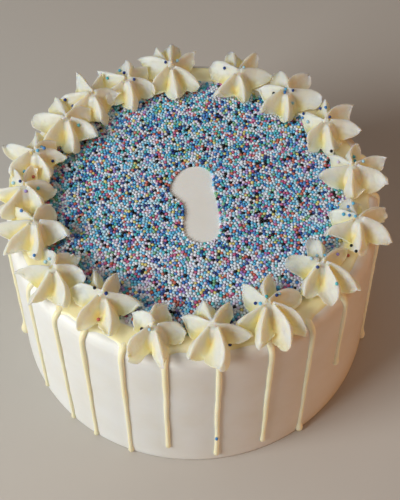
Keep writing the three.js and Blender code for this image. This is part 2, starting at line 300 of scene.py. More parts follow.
def evaluated_copy(made: bpy.types.Object, name: str) -> bpy.types.Mesh:
    """Turns an object's modifiers into a plain mesh and removes the object.

    Args:
        made: Object with live modifiers.
        name: Name of the plain mesh.

    Returns:
        The plain mesh.
    """
    graph = bpy.context.evaluated_depsgraph_get()
    mesh = bpy.data.meshes.new_from_object(made.evaluated_get(graph), depsgraph=graph)
    mesh.name = name
    made.modifiers.clear()
    bpy.data.objects.remove(made)
    return mesh


def finish_piece(
    mesh: bpy.types.Mesh, name: str, nodes: Sequence[str],
    material: bpy.types.Material | None = None,
) -> bpy.types.Object:
    """Turns a mesh in millimetres into a finished piece in metres on the frame.

    Args:
        mesh: Mesh of the piece.
        name: Name of the piece.
        nodes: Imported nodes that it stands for.
        material: Finish, where the mesh doesn't carry it yet.

    Returns:
        The finished object.
    """
    mesh.transform(Matrix.Scale(METRES, 4))
    mesh.update()
    if material is not None:
        mesh.materials.clear()
        mesh.materials.append(material)
    piece = show(mesh, name)
    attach(piece, BODY)
    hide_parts(*nodes)
    LOG.info("%s: %d faces", name, len(mesh.polygons))
    return piece


# ---- node trees --------------------------------------------------------------------------


class Wire:
    """An output socket that does arithmetic: every operator adds a Math node."""

    def __init__(self, graph: Graph, socket: bpy.types.NodeSocket) -> None:
        """Wraps a socket.

        Args:
            graph: Tree that the socket belongs to.
            socket: Output socket.
        """
        self.graph = graph
        self.socket = socket

    def math(self, operation: str, first: Wire | float, second: Wire | float = 0.0) -> Wire:
        """Adds a Math node.

        Args:
            operation: Its operation.
            first: First value.
            second: Second value.

        Returns:
            Its result.
        """
        return self.graph.node("ShaderNodeMath", {"operation": operation}, {0: first, 1: second})

    def __add__(self, other: Wire | float) -> Wire:
        """Returns self + other."""
        return self.math("ADD", self, other)

    def __radd__(self, other: float) -> Wire:
        """Returns other + self."""
        return self.math("ADD", other, self)

    def __sub__(self, other: Wire | float) -> Wire:
        """Returns self - other."""
        return self.math("SUBTRACT", self, other)

    def __rsub__(self, other: float) -> Wire:
        """Returns other - self."""
        return self.math("SUBTRACT", other, self)

    def __mul__(self, other: Wire | float) -> Wire:
        """Returns self * other."""
        return self.math("MULTIPLY", self, other)

    def __rmul__(self, other: float) -> Wire:
        """Returns other * self."""
        return self.math("MULTIPLY", other, self)


class Graph:
    """Builds a node tree, one node at a time."""

    MIX_FACTOR = 0
    MIX_FIRST = 6
    MIX_SECOND = 7
    MIX_RESULT = 2

    def __init__(self, tree: bpy.types.NodeTree) -> None:
        """Wraps a tree.

        Args:
            tree: Shader or geometry tree to add nodes to.
        """
        self.tree = tree

    def node(
        self, kind: str, settings: dict[str, Any] | None = None,
        values: dict[str | int, Any] | None = None, result: str | int = 0,
    ) -> Wire:
        """Adds any node.

        Args:
            kind: Type of the node.
            settings: Properties set first; "stops" fills a colour ramp.
            values: Values or wires of its input sockets, by name or place.
            result: Name or place of the output to return.

        Returns:
            The chosen output.
        """
        made = self.tree.nodes.new(kind)
        for name, value in (settings or {}).items():
            if name == "stops":
                self.fill_ramp(made.color_ramp, value)
            else:
                setattr(made, name, value)
        for place, value in (values or {}).items():
            socket = made.inputs[place]
            if isinstance(value, Wire):
                self.tree.links.new(value.socket, socket)
            else:
                socket.default_value = value
        return Wire(self, made.outputs[result] if len(made.outputs) else None)

    @staticmethod
    def fill_ramp(ramp: bpy.types.ColorRamp, stops: Sequence[tuple[float, Colour]]) -> None:
        """Sets the stops of a colour ramp.

        Args:
            ramp: Ramp to fill.
            stops: Places from 0 to 1 with their colours.
        """
        while len(ramp.elements) < len(stops):
            ramp.elements.new(1.0)
        for element, (place, colour) in zip(ramp.elements, stops):
            element.position = place
            element.color = (*colour, 1.0)

    def blend(self, share: Wire | float, first: Wire | Colour, second: Wire | Colour) -> Wire:
        """Mixes two colours.

        Args:
            share: Share of the second colour.
            first: First colour.
            second: Second colour.

        Returns:
            The mixed colour.
        """
        values = {self.MIX_FACTOR: share}
        for place, colour in ((self.MIX_FIRST, first), (self.MIX_SECOND, second)):
            values[place] = colour if isinstance(colour, Wire) else (*colour, 1.0)
        settings = {"data_type": "RGBA", "clamp_factor": True}
        return self.node("ShaderNodeMix", settings, values, self.MIX_RESULT)

    def noise(self, place: Wire, wavelength: float, detail: float = 2.0, rough: float = 0.5) -> Wire:
        """Adds noise on a piece's own coordinates.

        Args:
            place: Coordinates in metres.
            wavelength: Size of the noise's features in millimetres.
            detail: Number of finer layers.
            rough: Strength of the finer layers.

        Returns:
            Values round a half.
        """
        scale = 1 / (wavelength * METRES)
        values = {"Vector": place, "Scale": scale, "Detail": detail, "Roughness": rough}
        return self.node("ShaderNodeTexNoise", {}, values, "Fac")

    def bump(self, height: Wire, rise: float, onto: Wire | None = None) -> Wire:
        """Adds a Bump node.

        Args:
            height: Height from 0 to 1.
            rise: Millimetres between height 0 and 1.
            onto: Normal to add to.

        Returns:
            The bumped normal.
        """
        values: dict[str | int, Any] = {"Height": height, "Distance": rise * METRES, "Strength": 1.0}
        if onto is not None:
            values["Normal"] = onto
        return self.node("ShaderNodeBump", {}, values)


class Socket(Enum):
    """Kinds of socket that the geometry trees take and give."""

    SHAPE = "NodeSocketGeometry"
    NUMBER = "NodeSocketFloat"
    COUNT = "NodeSocketInt"
    FINISH = "NodeSocketMaterial"


def new_geometry_tree(
    name: str, inputs: dict[str, Socket], output: str
) -> tuple[bpy.types.NodeTree, Graph, dict[str, Wire]]:
    """Makes a geometry tree with named inputs and one shape as its output.

    Args:
        name: Name of the tree.
        inputs: Kind of each input, by name.
        output: Name of the output.

    Returns:
        The tree, its graph and a wire for each input.
    """
    tree = bpy.data.node_groups.new(name, "GeometryNodeTree")
    for label, kind in inputs.items():
        tree.interface.new_socket(name=label, in_out="INPUT", socket_type=kind.value)
    tree.interface.new_socket(name=output, in_out="OUTPUT", socket_type=Socket.SHAPE.value)
    graph = Graph(tree)
    return tree, graph, {label: graph.node("NodeGroupInput", result=label) for label in inputs}


def close_geometry_tree(graph: Graph, shape: Wire, finish: Wire, output: str) -> None:
    """Makes instances real, smooths and dresses the shape, and sends it out of the tree.

    Args:
        graph: Graph of the tree.
        shape: Shape to send out.
        finish: Material of the shape.
        output: Name of the output.
    """
    real = graph.node("GeometryNodeRealizeInstances", {}, {"Geometry": shape})
    smooth = graph.node("GeometryNodeSetShadeSmooth", {}, {"Geometry": real})
    dressed = graph.node("GeometryNodeSetMaterial", {}, {"Geometry": smooth, "Material": finish})
    graph.node("NodeGroupOutput", {}, {output: dressed})


def run_tree(made: bpy.types.Object, tree: bpy.types.NodeTree, values: dict[str, Any]) -> None:
    """Hangs a geometry tree on an object and sets its inputs.

    Args:
        made: Object to hang it on.
        tree: Geometry tree.
        values: Input values by the socket's name; each is set by its identifier.
    """
    modifier = made.modifiers.new(tree.name, "NODES")
    modifier.node_group = tree
    for item in tree.interface.items_tree:
        if item.item_type == "SOCKET" and item.in_out == "INPUT" and item.name in values:
            modifier[item.identifier] = values[item.name]


def new_material(name: str) -> tuple[bpy.types.Material, Graph]:
    """Makes an empty material.

    Args:
        name: Name of the material.

    Returns:
        The material and the graph of its nodes.
    """
    material = bpy.data.materials.new(name)
    material.use_nodes = True
    material.node_tree.nodes.clear()
    return material, Graph(material.node_tree)


def close_material(graph: Graph, values: dict[str | int, Any]) -> None:
    """Adds the surface shader and the output of a material.

    Args:
        graph: Graph of the material.
        values: Values and wires of the surface shader.
    """
    shader = graph.node("ShaderNodeBsdfPrincipled", {}, values, "BSDF")
    graph.node("ShaderNodeOutputMaterial", {}, {"Surface": shader})


# ---- finishes ------------------------------------------------------------------------------


@dataclass(frozen=True)
class SmoothButtercream:
    """Ivory buttercream drawn smooth with a scraper: faint bands, pin holes and a soft sheen."""

    light: Colour = from_screen(241, 240, 236)
    deep: Colour = from_screen(236, 232, 222)
    roughness: float = 0.42
    roughness_sway: float = 0.25
    shine: float = 0.42
    softness: float = 0.12
    soft_reach: float = 1.6
    soft_tint: Colour = (1.0, 0.8, 0.55)
    # Strength of a painted glow that lifts shade; none on the cake body.
    glow_strength: float = 0.0
    patch_size: float = 24.0
    patch_low: float = 0.35
    patch_gain: float = 2.2
    band_height: float = 5.0
    band_stretch: float = 0.16
    band_rise: float = 0.10
    pore_size: float = 0.9
    pore_rise: float = 0.03

    def material(self, name: str) -> bpy.types.Material:
        """Returns the material.

        Args:
            name: Name of the material.

        Returns:
            The finished material.
        """
        made, graph = new_material(name)
        place = graph.node("ShaderNodeTexCoord", result="Object")
        stretch = (self.band_stretch, self.band_stretch, 1.0)
        banded = graph.node("ShaderNodeMapping", {}, {"Vector": place, "Scale": stretch})
        patches = graph.noise(place, self.patch_size, detail=3.0)
        bands = graph.noise(banded, self.band_height, detail=3.0, rough=0.55)
        pores = graph.noise(place, self.pore_size, detail=3.0, rough=0.65)
        colour = graph.blend((patches - self.patch_low) * self.patch_gain, self.light, self.deep)
        close_material(graph, {
            "Base Color": colour,
            "Roughness": self.roughness + (bands - 0.5) * self.roughness_sway,
            "Normal": graph.bump(pores, self.pore_rise, onto=graph.bump(bands, self.band_rise)),
            "Subsurface Weight": self.softness,
            "Subsurface Radius": self.soft_tint,
            "Subsurface Scale": self.soft_reach * METRES,
            "Specular IOR Level": self.shine,
            # Painted glow in the icing's own colour, at the strength above.
            "Emission Color": colour,
            "Emission Strength": self.glow_strength,
        })
        return made


@dataclass(frozen=True)
class PipedButtercream:
    """Stiffer buttercream out of a nozzle: white on its edges and yellow deep in its folds, where the
    yellowing is painted warm shade and a painted glow lifts the shade.
    """

    edge: Colour = from_screen(217, 216, 205)
    face: Colour = from_screen(217, 212, 188)
    valley: Colour = from_screen(228, 216, 166)
    fold: Colour = from_screen(234, 216, 148)
    face_depth: float = 0.22
    valley_depth: float = 0.62
    # Painted glow: emission that lifts the shade, standing in for light passing through the thin petals.
    glow: Colour = from_screen(255, 232, 180)
    glow_strength: float = 0.07
    roughness: float = 0.46
    roughness_sway: float = 0.2
    shine: float = 0.45
    softness: float = 1.0
    soft_reach: float = 7.0
    soft_tint: Colour = (1.0, 0.75, 0.45)
    mottle_size: float = 5.0
    mottle_sway: float = 0.12
    streak_size: float = 1.6
    streak_rise: float = 0.06
    pore_size: float = 0.5
    pore_rise: float = 0.03
    glow_outside: float = 0.5
    shade_attribute: str = "fold_depth"

    def material(self, name: str) -> bpy.types.Material:
        """Returns the material.

        Args:
            name: Name of the material.

        Returns:
            The finished material.
        """
        made, graph = new_material(name)
        place = graph.node("ShaderNodeTexCoord", result="Object")
        # The attribute holds painted shade: 0 on open edges, 1 deep in the folds and low down.
        depth = graph.node("ShaderNodeAttribute", {"attribute_name": self.shade_attribute}, result="Fac")
        mottle = graph.noise(place, self.mottle_size) - 0.5
        # Painted warm shade: the ramp turns from white to yellow as the painted shade deepens.
        stops = [
            (0.0, self.edge),
            (self.face_depth, self.face),
            (self.valley_depth, self.valley),
            (1.0, self.fold),
        ]
        # The painted glow is half strength on open faces and full deep in the folds.
        glowing = depth * (1 - self.glow_outside) + self.glow_outside
        share = depth + mottle * self.mottle_sway
        colour = graph.node("ShaderNodeValToRGB", {"stops": stops}, {"Fac": share})
        streaks = graph.bump(graph.noise(place, self.streak_size), self.streak_rise)
        close_material(graph, {
            "Base Color": colour,
            "Roughness": self.roughness + mottle * self.roughness_sway,
            "Normal": graph.bump(graph.noise(place, self.pore_size), self.pore_rise, onto=streaks),
            "Subsurface Weight": self.softness,
            "Subsurface Radius": self.soft_tint,
            "Subsurface Scale": self.soft_reach * METRES,
            "Specular IOR Level": self.shine,
            "Emission Color": graph.blend(glowing, BLACK, self.glow),
            "Emission Strength": self.glow_strength,
        })
        return made


@dataclass(frozen=True)
class SugarShell:
    """The dyed shell of a nonpareil, a little uneven in its colour."""

    colour: Colour
    roughness: float = 0.4
    coat: float = 0.04
    coat_roughness: float = 0.25
    shine: float = 0.3
    chalk_white: float = 0.85
    chalk_size: float = 0.7
    chalk_share: float = 0.2
    chalk_rise: float = 0.03
    fade: float = 0.12
    darkening: float = 1.6
    tint_attribute: str = "grain_tint"

    def material(self, name: str) -> bpy.types.Material:
        """Returns the material.

        Args:
            name: Name of the material.

        Returns:
            The finished material.
        """
        made, graph = new_material(name)
        place = graph.node("ShaderNodeTexCoord", result="Object")
        tint = graph.node("ShaderNodeAttribute", {"attribute_name": self.tint_attribute}, result="Fac")
        chalk = graph.noise(place, self.chalk_size)
        fade = self.fade * math.sqrt(max(self.colour))
        pale = tuple(mix(share, self.chalk_white, fade) for share in self.colour)
        dark = tuple(share * (1 - self.darkening * self.fade) for share in self.colour)
        colour = graph.blend(tint, dark, pale)
        close_material(graph, {
            "Base Color": graph.blend(chalk * self.chalk_share, colour, pale),
            "Roughness": self.roughness + chalk * self.chalk_share,
            "Normal": graph.bump(chalk, self.chalk_rise),
            "Coat Weight": self.coat,
            "Coat Roughness": self.coat_roughness,
            "Specular IOR Level": self.shine,
        })
        return made


class Sugar(Enum):
    """Kinds of nonpareil: colour on a screen and share of the mixture."""

    WHITE = ((234, 238, 248), 0.135)
    PEARL = ((220, 230, 240), 0.13)
    LILAC_WHITE = ((224, 208, 236), 0.06)
    ICE_BLUE = ((172, 220, 240), 0.14)
    SKY_BLUE = ((88, 190, 232), 0.125)
    TURQUOISE = ((70, 190, 198), 0.07)
    CORNFLOWER = ((46, 130, 206), 0.085)
    NAVY = ((14, 52, 132), 0.064)
    BLACK = ((6, 8, 14), 0.056)
    LAVENDER = ((158, 136, 210), 0.028)
    MAGENTA = ((196, 84, 134), 0.034)
    CORAL = ((202, 100, 82), 0.034)
    YELLOW = ((224, 210, 122), 0.036)
    GREEN = ((120, 184, 140), 0.04)

    @property
    def label(self) -> str:
        """Returns the name used in pieces and materials."""
        return self.name.lower()

    @property
    def share(self) -> float:
        """Returns the share of the mixture."""
        return self.value[1]

    def shell(self) -> SugarShell:
        """Returns the finish of this kind."""
        return SugarShell(from_screen(*self.value[0]))


# ---- the iced cake ---------------------------------------------------------------------------


@dataclass(frozen=True)
class CakeForm:
    """The main sizes of the cake, as packed."""

    base_radius: float = 103.0
    top_radius: float = 100.0
    height: float = 110.0
    rim_round: float = 7.0
    foot_bevel: float = 0.8
    bed_radius: float = 84.0

    def side_radius(self, height: float) -> float:
        """Returns the radius of the iced side at a height."""
        return mix(self.base_radius, self.top_radius, height / self.height)

    def rim_point(self, turn: float) -> tuple[float, float]:
        """Gives a point on the rounded upper edge.

        Args:
            turn: 0 at the side and 1 on the top.

        Returns:
            Radius and height.
        """
        angle = turn * math.pi / 2
        radius = self.top_radius - self.rim_round * (1 - math.cos(angle))
        return radius, self.height - self.rim_round * (1 - math.sin(angle))


@dataclass(frozen=True)
class Numeral:
    """The bare numeral one: its outline goes up on the right and comes down on the left."""

    right: tuple[tuple[float, float], ...] = (
        (2.5, -28.4), (8.5, -28), (13, -24), (13.8, -15), (12.6, -1), (10.7, 7), (10.2, 17),
    )
    left: tuple[tuple[float, float], ...] = (
        (3.5, 21.8), (-4, 20.2), (-9.4, 14), (-12, 6), (-9, 1), (-4.6, -4), (-4.6, -20),
        (-2.4, -26),
    )
    steps_between: int = 8

    def outline(self) -> np.ndarray:
        """Returns a closed smooth outline through the points, as x, y rows."""
        corners = np.array([*self.right, *self.left], dtype=float)
        count = len(corners)
        points = []
        for i in range(count):
            p0, p1, p2, p3 = (corners[(i + k) % count] for k in (-1, 0, 1, 2))
            for step in range(self.steps_between):
                points.append(self.through(p0, p1, p2, p3, step / self.steps_between))
        return np.array(points)

    @staticmethod
    def through(
        p0: np.ndarray, p1: np.ndarray, p2: np.ndarray, p3: np.ndarray, share: float
    ) -> np.ndarray:
        """Gives a point of a centripetal Catmull-Rom curve.

        Args:
            p0: Point before the stretch.
            p1: Start of the stretch.
            p2: End of the stretch.
            p3: Point after the stretch.
            share: Share of the stretch.

        Returns:
            The point.
        """
        knots = [0.0]
        for a, b in ((p0, p1), (p1, p2), (p2, p3)):
            knots.append(knots[-1] + max(math.sqrt(float(np.linalg.norm(b - a))), 1e-4))
        t0, t1, t2, t3 = knots
        t = mix(t1, t2, share)
        a1 = (t1 - t) / (t1 - t0) * p0 + (t - t0) / (t1 - t0) * p1
        a2 = (t2 - t) / (t2 - t1) * p1 + (t - t1) / (t2 - t1) * p2
        a3 = (t3 - t) / (t3 - t2) * p2 + (t - t2) / (t3 - t2) * p3
        b1 = (t2 - t) / (t2 - t0) * a1 + (t - t0) / (t2 - t0) * a2
        b2 = (t3 - t) / (t3 - t1) * a2 + (t - t1) / (t3 - t1) * a3
        return (t2 - t) / (t2 - t1) * b1 + (t - t1) / (t2 - t1) * b2

    def row(self, spacing: float, offset: float) -> np.ndarray:
        """Lays points side by side round the numeral.

        Args:
            spacing: Distance from one to the next.
            offset: Distance outside the outline.

        Returns:
            The points as x, y rows.
        """
        outline = self.outline()
        ahead = np.roll(outline, -1, axis=0) - np.roll(outline, 1, axis=0)
        out = unit(np.stack([ahead[:, 1], -ahead[:, 0]], axis=1))
        closed = np.concatenate([outline + out * offset, (outline + out * offset)[:1]])
        steps = np.linalg.norm(np.diff(closed, axis=0), axis=1)
        travelled = np.concatenate([[0], np.cumsum(steps)])
        places = np.linspace(0, travelled[-1], int(travelled[-1] / spacing), endpoint=False)
        return np.stack([np.interp(places, travelled, closed[:, k]) for k in (0, 1)], axis=1)

    def distance(self, points: np.ndarray) -> np.ndarray:
        """Measures how far points lie from the outline.

        Args:
            points: Points as x, y rows.

        Returns:
            Distances, negative inside the numeral.
        """
        start = self.outline()
        end = np.roll(start, -1, axis=0)
        along = end - start
        offset = points[:, None, :] - start[None]
        share = np.clip((offset * along).sum(-1) / (along**2).sum(-1), 0, 1)
        nearest = np.linalg.norm(offset - share[..., None] * along, axis=-1).min(axis=1)
        above = start[None, :, 1] > points[:, 1:2]
        crosses = above != (end[None, :, 1] > points[:, 1:2])
        rise = np.where(np.abs(along[:, 1]) < 1e-9, 1e-9, along[:, 1])
        reach = start[:, 0] + (points[:, 1:2] - start[:, 1]) / rise * along[:, 0]
        inside = (crosses & (points[:, 0:1] < reach)).sum(axis=1) % 2 == 1
        return np.where(inside, -nearest, nearest)


@dataclass
class IcedBody:
    """The cake in its smooth icing, with the shallow bed that the nonpareils lie in."""

    form: CakeForm
    finish: SmoothButtercream = SmoothButtercream()
    around: int = 300
    side_rings: int = 44
    rim_rings: int = 10
    band_rings: int = 4
    edge_rings: int = 5
    bed_rings: int = 24
    first_ring: float = 2.5
    rim_margin: float = 1.5
    band_margin: float = 2.0
    edge_outside: float = 1.2
    edge_inside: float = 1.6
    bed_margin: float = 5.0
    last_ring: float = 4.0
    bed_drop: float = 0.9
    bed_slope: float = 1.5
    side_sway: float = 0.35
    side_wave: float = 46.0
    top_sway: float = 0.22
    top_wave: float = 30.0
    top_inset: float = 5.0
    top_depth: tuple[float, float] = (6.0, 1.0)
    side_inset: tuple[float, float] = (10.0, 2.0)
    side_foot: tuple[float, float] = (0.5, 6.0)
    side_stretch: float = 0.7
    scraper_rise: float = 0.12
    scraper_band: float = 6.5
    scraper_stretch: float = 0.12

    def profile(self) -> list[tuple[float, float]]:
        """Returns the outline from the foot up the side and over the top, as radius and height."""
        form = self.form
        points = [(form.base_radius - form.foot_bevel, 0.0), (form.base_radius, form.foot_bevel)]
        rim_low = form.height - form.rim_round
        heights = np.linspace(self.first_ring, rim_low - self.rim_margin, self.side_rings)
        points += [(form.side_radius(z), float(z)) for z in heights]
        points += [form.rim_point(turn) for turn in np.linspace(0, 1, self.rim_rings)]
        edge, slope = form.bed_radius, self.bed_slope
        rim = form.top_radius - form.rim_round - self.rim_margin
        radii = [
            *np.linspace(rim, edge + self.band_margin, self.band_rings),
            *np.linspace(edge + self.edge_outside, edge - self.edge_inside, self.edge_rings),
            *np.linspace(edge - self.bed_margin, self.last_ring, self.bed_rings),
        ]
        for radius in radii:
            sunk = 1 - smooth_step(radius, edge - slope, edge + slope)
            points.append((float(radius), form.height - self.bed_drop * float(sunk)))
        return points

    def build(self) -> bpy.types.Object:
        """Returns the finished cake body."""
        profile = self.profile()
        angles = np.arange(self.around) * 2 * math.pi / self.around
        rings = [
            np.stack([r * np.sin(angles), -r * np.cos(angles), np.full(self.around, z)], axis=1)
            for r, z in profile
        ]
        points = np.concatenate([*rings, [[0, 0, 0], [0, 0, profile[-1][1]]]])
        faces = []
        for ring in range(len(profile) - 1):
            low = ring * self.around
            for i in range(self.around):
                j = (i + 1) % self.around
                faces.append((low + i, low + j, low + self.around + j, low + self.around + i))
        last = (len(profile) - 1) * self.around
        for i in range(self.around):
            j = (i + 1) % self.around
            faces.append((j, i, len(points) - 2))
            faces.append((last + i, last + j, len(points) - 1))
        mesh = mesh_from("iced_body", self.uneven(points), faces)
        material = self.finish.material("smooth_buttercream")
        return finish_piece(mesh, "iced_body", [CAKE_NODE], material)

    def uneven(self, points: np.ndarray) -> np.ndarray:
        """Adds the slow waves that a scraper leaves.

        Args:
            points: Points of the true form.

        Returns:
            The uneven points.
        """
        moved = points.copy()
        radius = np.maximum(np.hypot(points[:, 0], points[:, 1]), TINY)
        top, height = self.form.top_radius, self.form.height
        far, near = self.side_inset
        on_side = smooth_step(radius, top - far, top - near) * smooth_step(points[:, 2], *self.side_foot)
        upright = [1, 1, self.side_stretch]
        sway = ripple(points * upright, self.side_wave, seed=3.1) * self.side_sway
        level = [self.scraper_stretch, self.scraper_stretch, 1]
        bands = ripple(points * level, self.scraper_band, seed=9.4) * self.scraper_rise
        out = (sway + bands) * on_side
        moved[:, :2] += points[:, :2] / radius[:, None] * out[:, None]
        low, high = self.top_depth
        on_top = smooth_step(points[:, 2], height - low, height - high)
        on_top = on_top * (1 - smooth_step(radius, top - self.top_inset, top))
        moved[:, 2] += ripple(points, self.top_wave, seed=7.7) * self.top_sway * on_top
        return moved


@dataclass(frozen=True)
class Drip:
    """One drip: where it runs, how far down it ends, and the bulb that it ends in."""

    degrees: float
    end: float
    bulb: float
    lean: float


@dataclass
class IcingDrips:
    """The drips of thin icing that run down the side."""

    form: CakeForm
    # The thin icing carries a painted glow that brightens the drips where they lie in shade.
    finish: SmoothButtercream = SmoothButtercream(
        light=from_screen(240, 231, 198), deep=from_screen(234, 222, 180), roughness=0.33,
        softness=0.7, soft_reach=2.4, glow_strength=0.1,
    )
    drips: tuple[Drip, ...] = tuple(Drip(*row) for row in (
        (-75, 21, 2.9, 0), (-58.2, 4.5, 1.5, 0.6), (-45, 1.8, 1.6, 1.5), (-34.3, 2, 1.7, 0.4),
        (-21.6, 1.7, 1.8, 0.2), (-8.8, 17, 1.5, -0.3), (6.6, 8, 1.6, -0.8), (22.2, 11, 1.5, -1.6),
        (36, 2.4, 2.2, -1.6), (50, 48, 2.1, -2.2), (75.4, 2.6, 2.4, 0.5), (91, 23, 1.5, 0.8),
        (106, 3, 1.8, -0.5), (120, 35, 1.6, 1.2), (137, 9, 1.5, -0.6), (152, 2.2, 1.9, 0.9),
        (167, 42, 1.6, -0.8), (-177, 12, 1.5, 0.4), (-162, 2, 1.8, 1.1), (-146, 28, 1.6, -0.9),
        (-129, 4.5, 1.7, 0.5), (-110, 16, 1.5, -0.4), (-93, 2.2, 2, 0.8),
    ))
    start_radius: float = 92.4
    girth: float = 1.42
    girth_at_rim: float = 1.12
    girth_far_down: float = 0.88
    thinning_height: float = 85.0
    mouth_flare: float = 0.3
    flare_below: float = 4.0
    flare_above: float = 1.0
    unevenness: float = 0.16
    uneven_wave: float = 9.0
    uneven_seed: float = 1.7
    bulb_neck: float = 4.0
    bulb_fullness: float = 1.6
    tip_flatness: float = 0.012
    proud: float = 0.04
    bulb_proud: float = 0.18
    mouth_sunk: float = 0.8
    mouth_depth: tuple[float, float] = (6.6, 1.4)
    wander: float = 0.3
    wander_wave: float = 22.0
    wander_seed: float = 5.1
    rim_steps: int = 9
    step: float = 1.6
    sides: int = 14
    floor_gap: float = 0.05

    def route(self, drip: Drip) -> list[tuple[float, float, float, float]]:
        """Follows the icing under one drip, over the rim and down the side.

        Args:
            drip: Drip to follow.

        Returns:
            Radius and height of each point, and how far outwards and upwards the icing faces there.
        """
        form = self.form
        route = [(self.start_radius, form.height, 0.0, 1.0)]
        for turn in np.linspace(1, 0, self.rim_steps).tolist():
            angle = turn * math.pi / 2
            route.append((*form.rim_point(turn), math.cos(angle), math.sin(angle)))
        high, low = form.height - form.rim_round, drip.end - drip.bulb
        count = max(int((high - low) / self.step), 2)
        for height in np.linspace(high, low, count + 1)[1:].tolist():
            route.append((form.side_radius(height), height, 1.0, 0.0))
        return route

    def girth_at(self, drip: Drip, height: float) -> float:
        """Gives the girth of a drip: wide where it leaves the rim, thin below, then a bulb.

        Args:
            drip: Drip to measure.
            height: Height above the base.

        Returns:
            Its radius at that height.
        """
        top = self.form.height
        uneven = noise.noise(Vector((drip.degrees, height / self.uneven_wave, self.uneven_seed)))
        thinned = float(smooth_step(top - height, 0, self.thinning_height))
        girth = self.girth * (1 + self.unevenness * uneven)
        girth *= mix(self.girth_at_rim, self.girth_far_down, thinned)
        flared = float(smooth_step(height, top - self.flare_below, top + self.flare_above))
        girth *= 1 + self.mouth_flare * flared
        above, neck = height - drip.end, self.bulb_neck * drip.bulb
        if above < 0:
            return drip.bulb * math.sqrt(max(1 - (above / drip.bulb) ** 2, self.tip_flatness))
        if above < neck:
            girth = mix(girth, drip.bulb, float(smooth_step(neck - above, 0, neck)) ** self.bulb_fullness)
        return girth

    def line(self, drip: Drip) -> tuple[np.ndarray, np.ndarray]:
        """Lays the line of one drip.

        Args:
            drip: Drip to lay.

        Returns:
            Its points and its girth at each.
        """
        form = self.form
        points, girths = [], []
        for radius, height, out, up in self.route(drip):
            girth = self.girth_at(drip, height)
            lift = self.proud * self.girth + self.bulb_proud * (girth - self.girth)
            if up > 0:
                risen = float(smooth_step(form.top_radius - radius, *self.mouth_depth))
                lift = mix(-self.mouth_sunk * girth, lift, risen)
            along = height / self.wander_wave
            aside = self.wander * noise.noise(Vector((drip.degrees, self.wander_seed, along)))
            turn = drip.degrees + drip.lean * (1 - height / form.height) + math.degrees(aside / radius)
            points.append(round_point(turn, radius + out * lift, height + up * lift))
            girths.append(girth)
        return np.array(points), np.array(girths)

    def tree(self) -> bpy.types.NodeTree:
        """Returns the geometry tree that turns lines with a girth into rounded trails of icing."""
        inputs = {"Lines": Socket.SHAPE, "Sides": Socket.COUNT, "Icing": Socket.FINISH}
        tree, graph, given = new_geometry_tree("icing_trails", inputs, "Trails")
        girth = graph.node("GeometryNodeInputNamedAttribute", {"data_type": "FLOAT"}, {"Name": "girth"})
        curve = graph.node("GeometryNodeMeshToCurve", {}, {"Mesh": given["Lines"]})
        circle = graph.node(
            "GeometryNodeCurvePrimitiveCircle", {}, {"Resolution": given["Sides"], "Radius": 1.0}
        )
        trails = graph.node("GeometryNodeCurveToMesh", {}, {
            "Curve": curve, "Profile Curve": circle, "Scale": girth, "Fill Caps": True,
        })
        close_geometry_tree(graph, trails, given["Icing"], "Trails")
        return tree

    def build(self) -> bpy.types.Object:
        """Returns the finished drips as one piece."""
        points: list[Point] = []
        edges: list[tuple[int, int]] = []
        girths: list[float] = []
        for drip in self.drips:
            route, girth = self.line(drip)
            first = len(points)
            points += [tuple(p) for p in route.tolist()]
            girths += girth.tolist()
            edges += [(first + i, first + i + 1) for i in range(len(route) - 1)]
        mesh = bpy.data.meshes.new("drip_lines")
        mesh.from_pydata(points, edges, [])
        paint(mesh, "girth", np.array(girths))
        lines = show(mesh, "drip_lines")
        icing = self.finish.material("thin_icing")
        run_tree(lines, self.tree(), {"Sides": self.sides, "Icing": icing})
        trails = evaluated_copy(lines, "icing_drips")
        settled = vertices_of(trails)
        settled[:, 2] = np.maximum(settled[:, 2], self.floor_gap)
        move_vertices(trails, settled)
        return finish_piece(trails, "icing_drips", [CAKE_NODE])


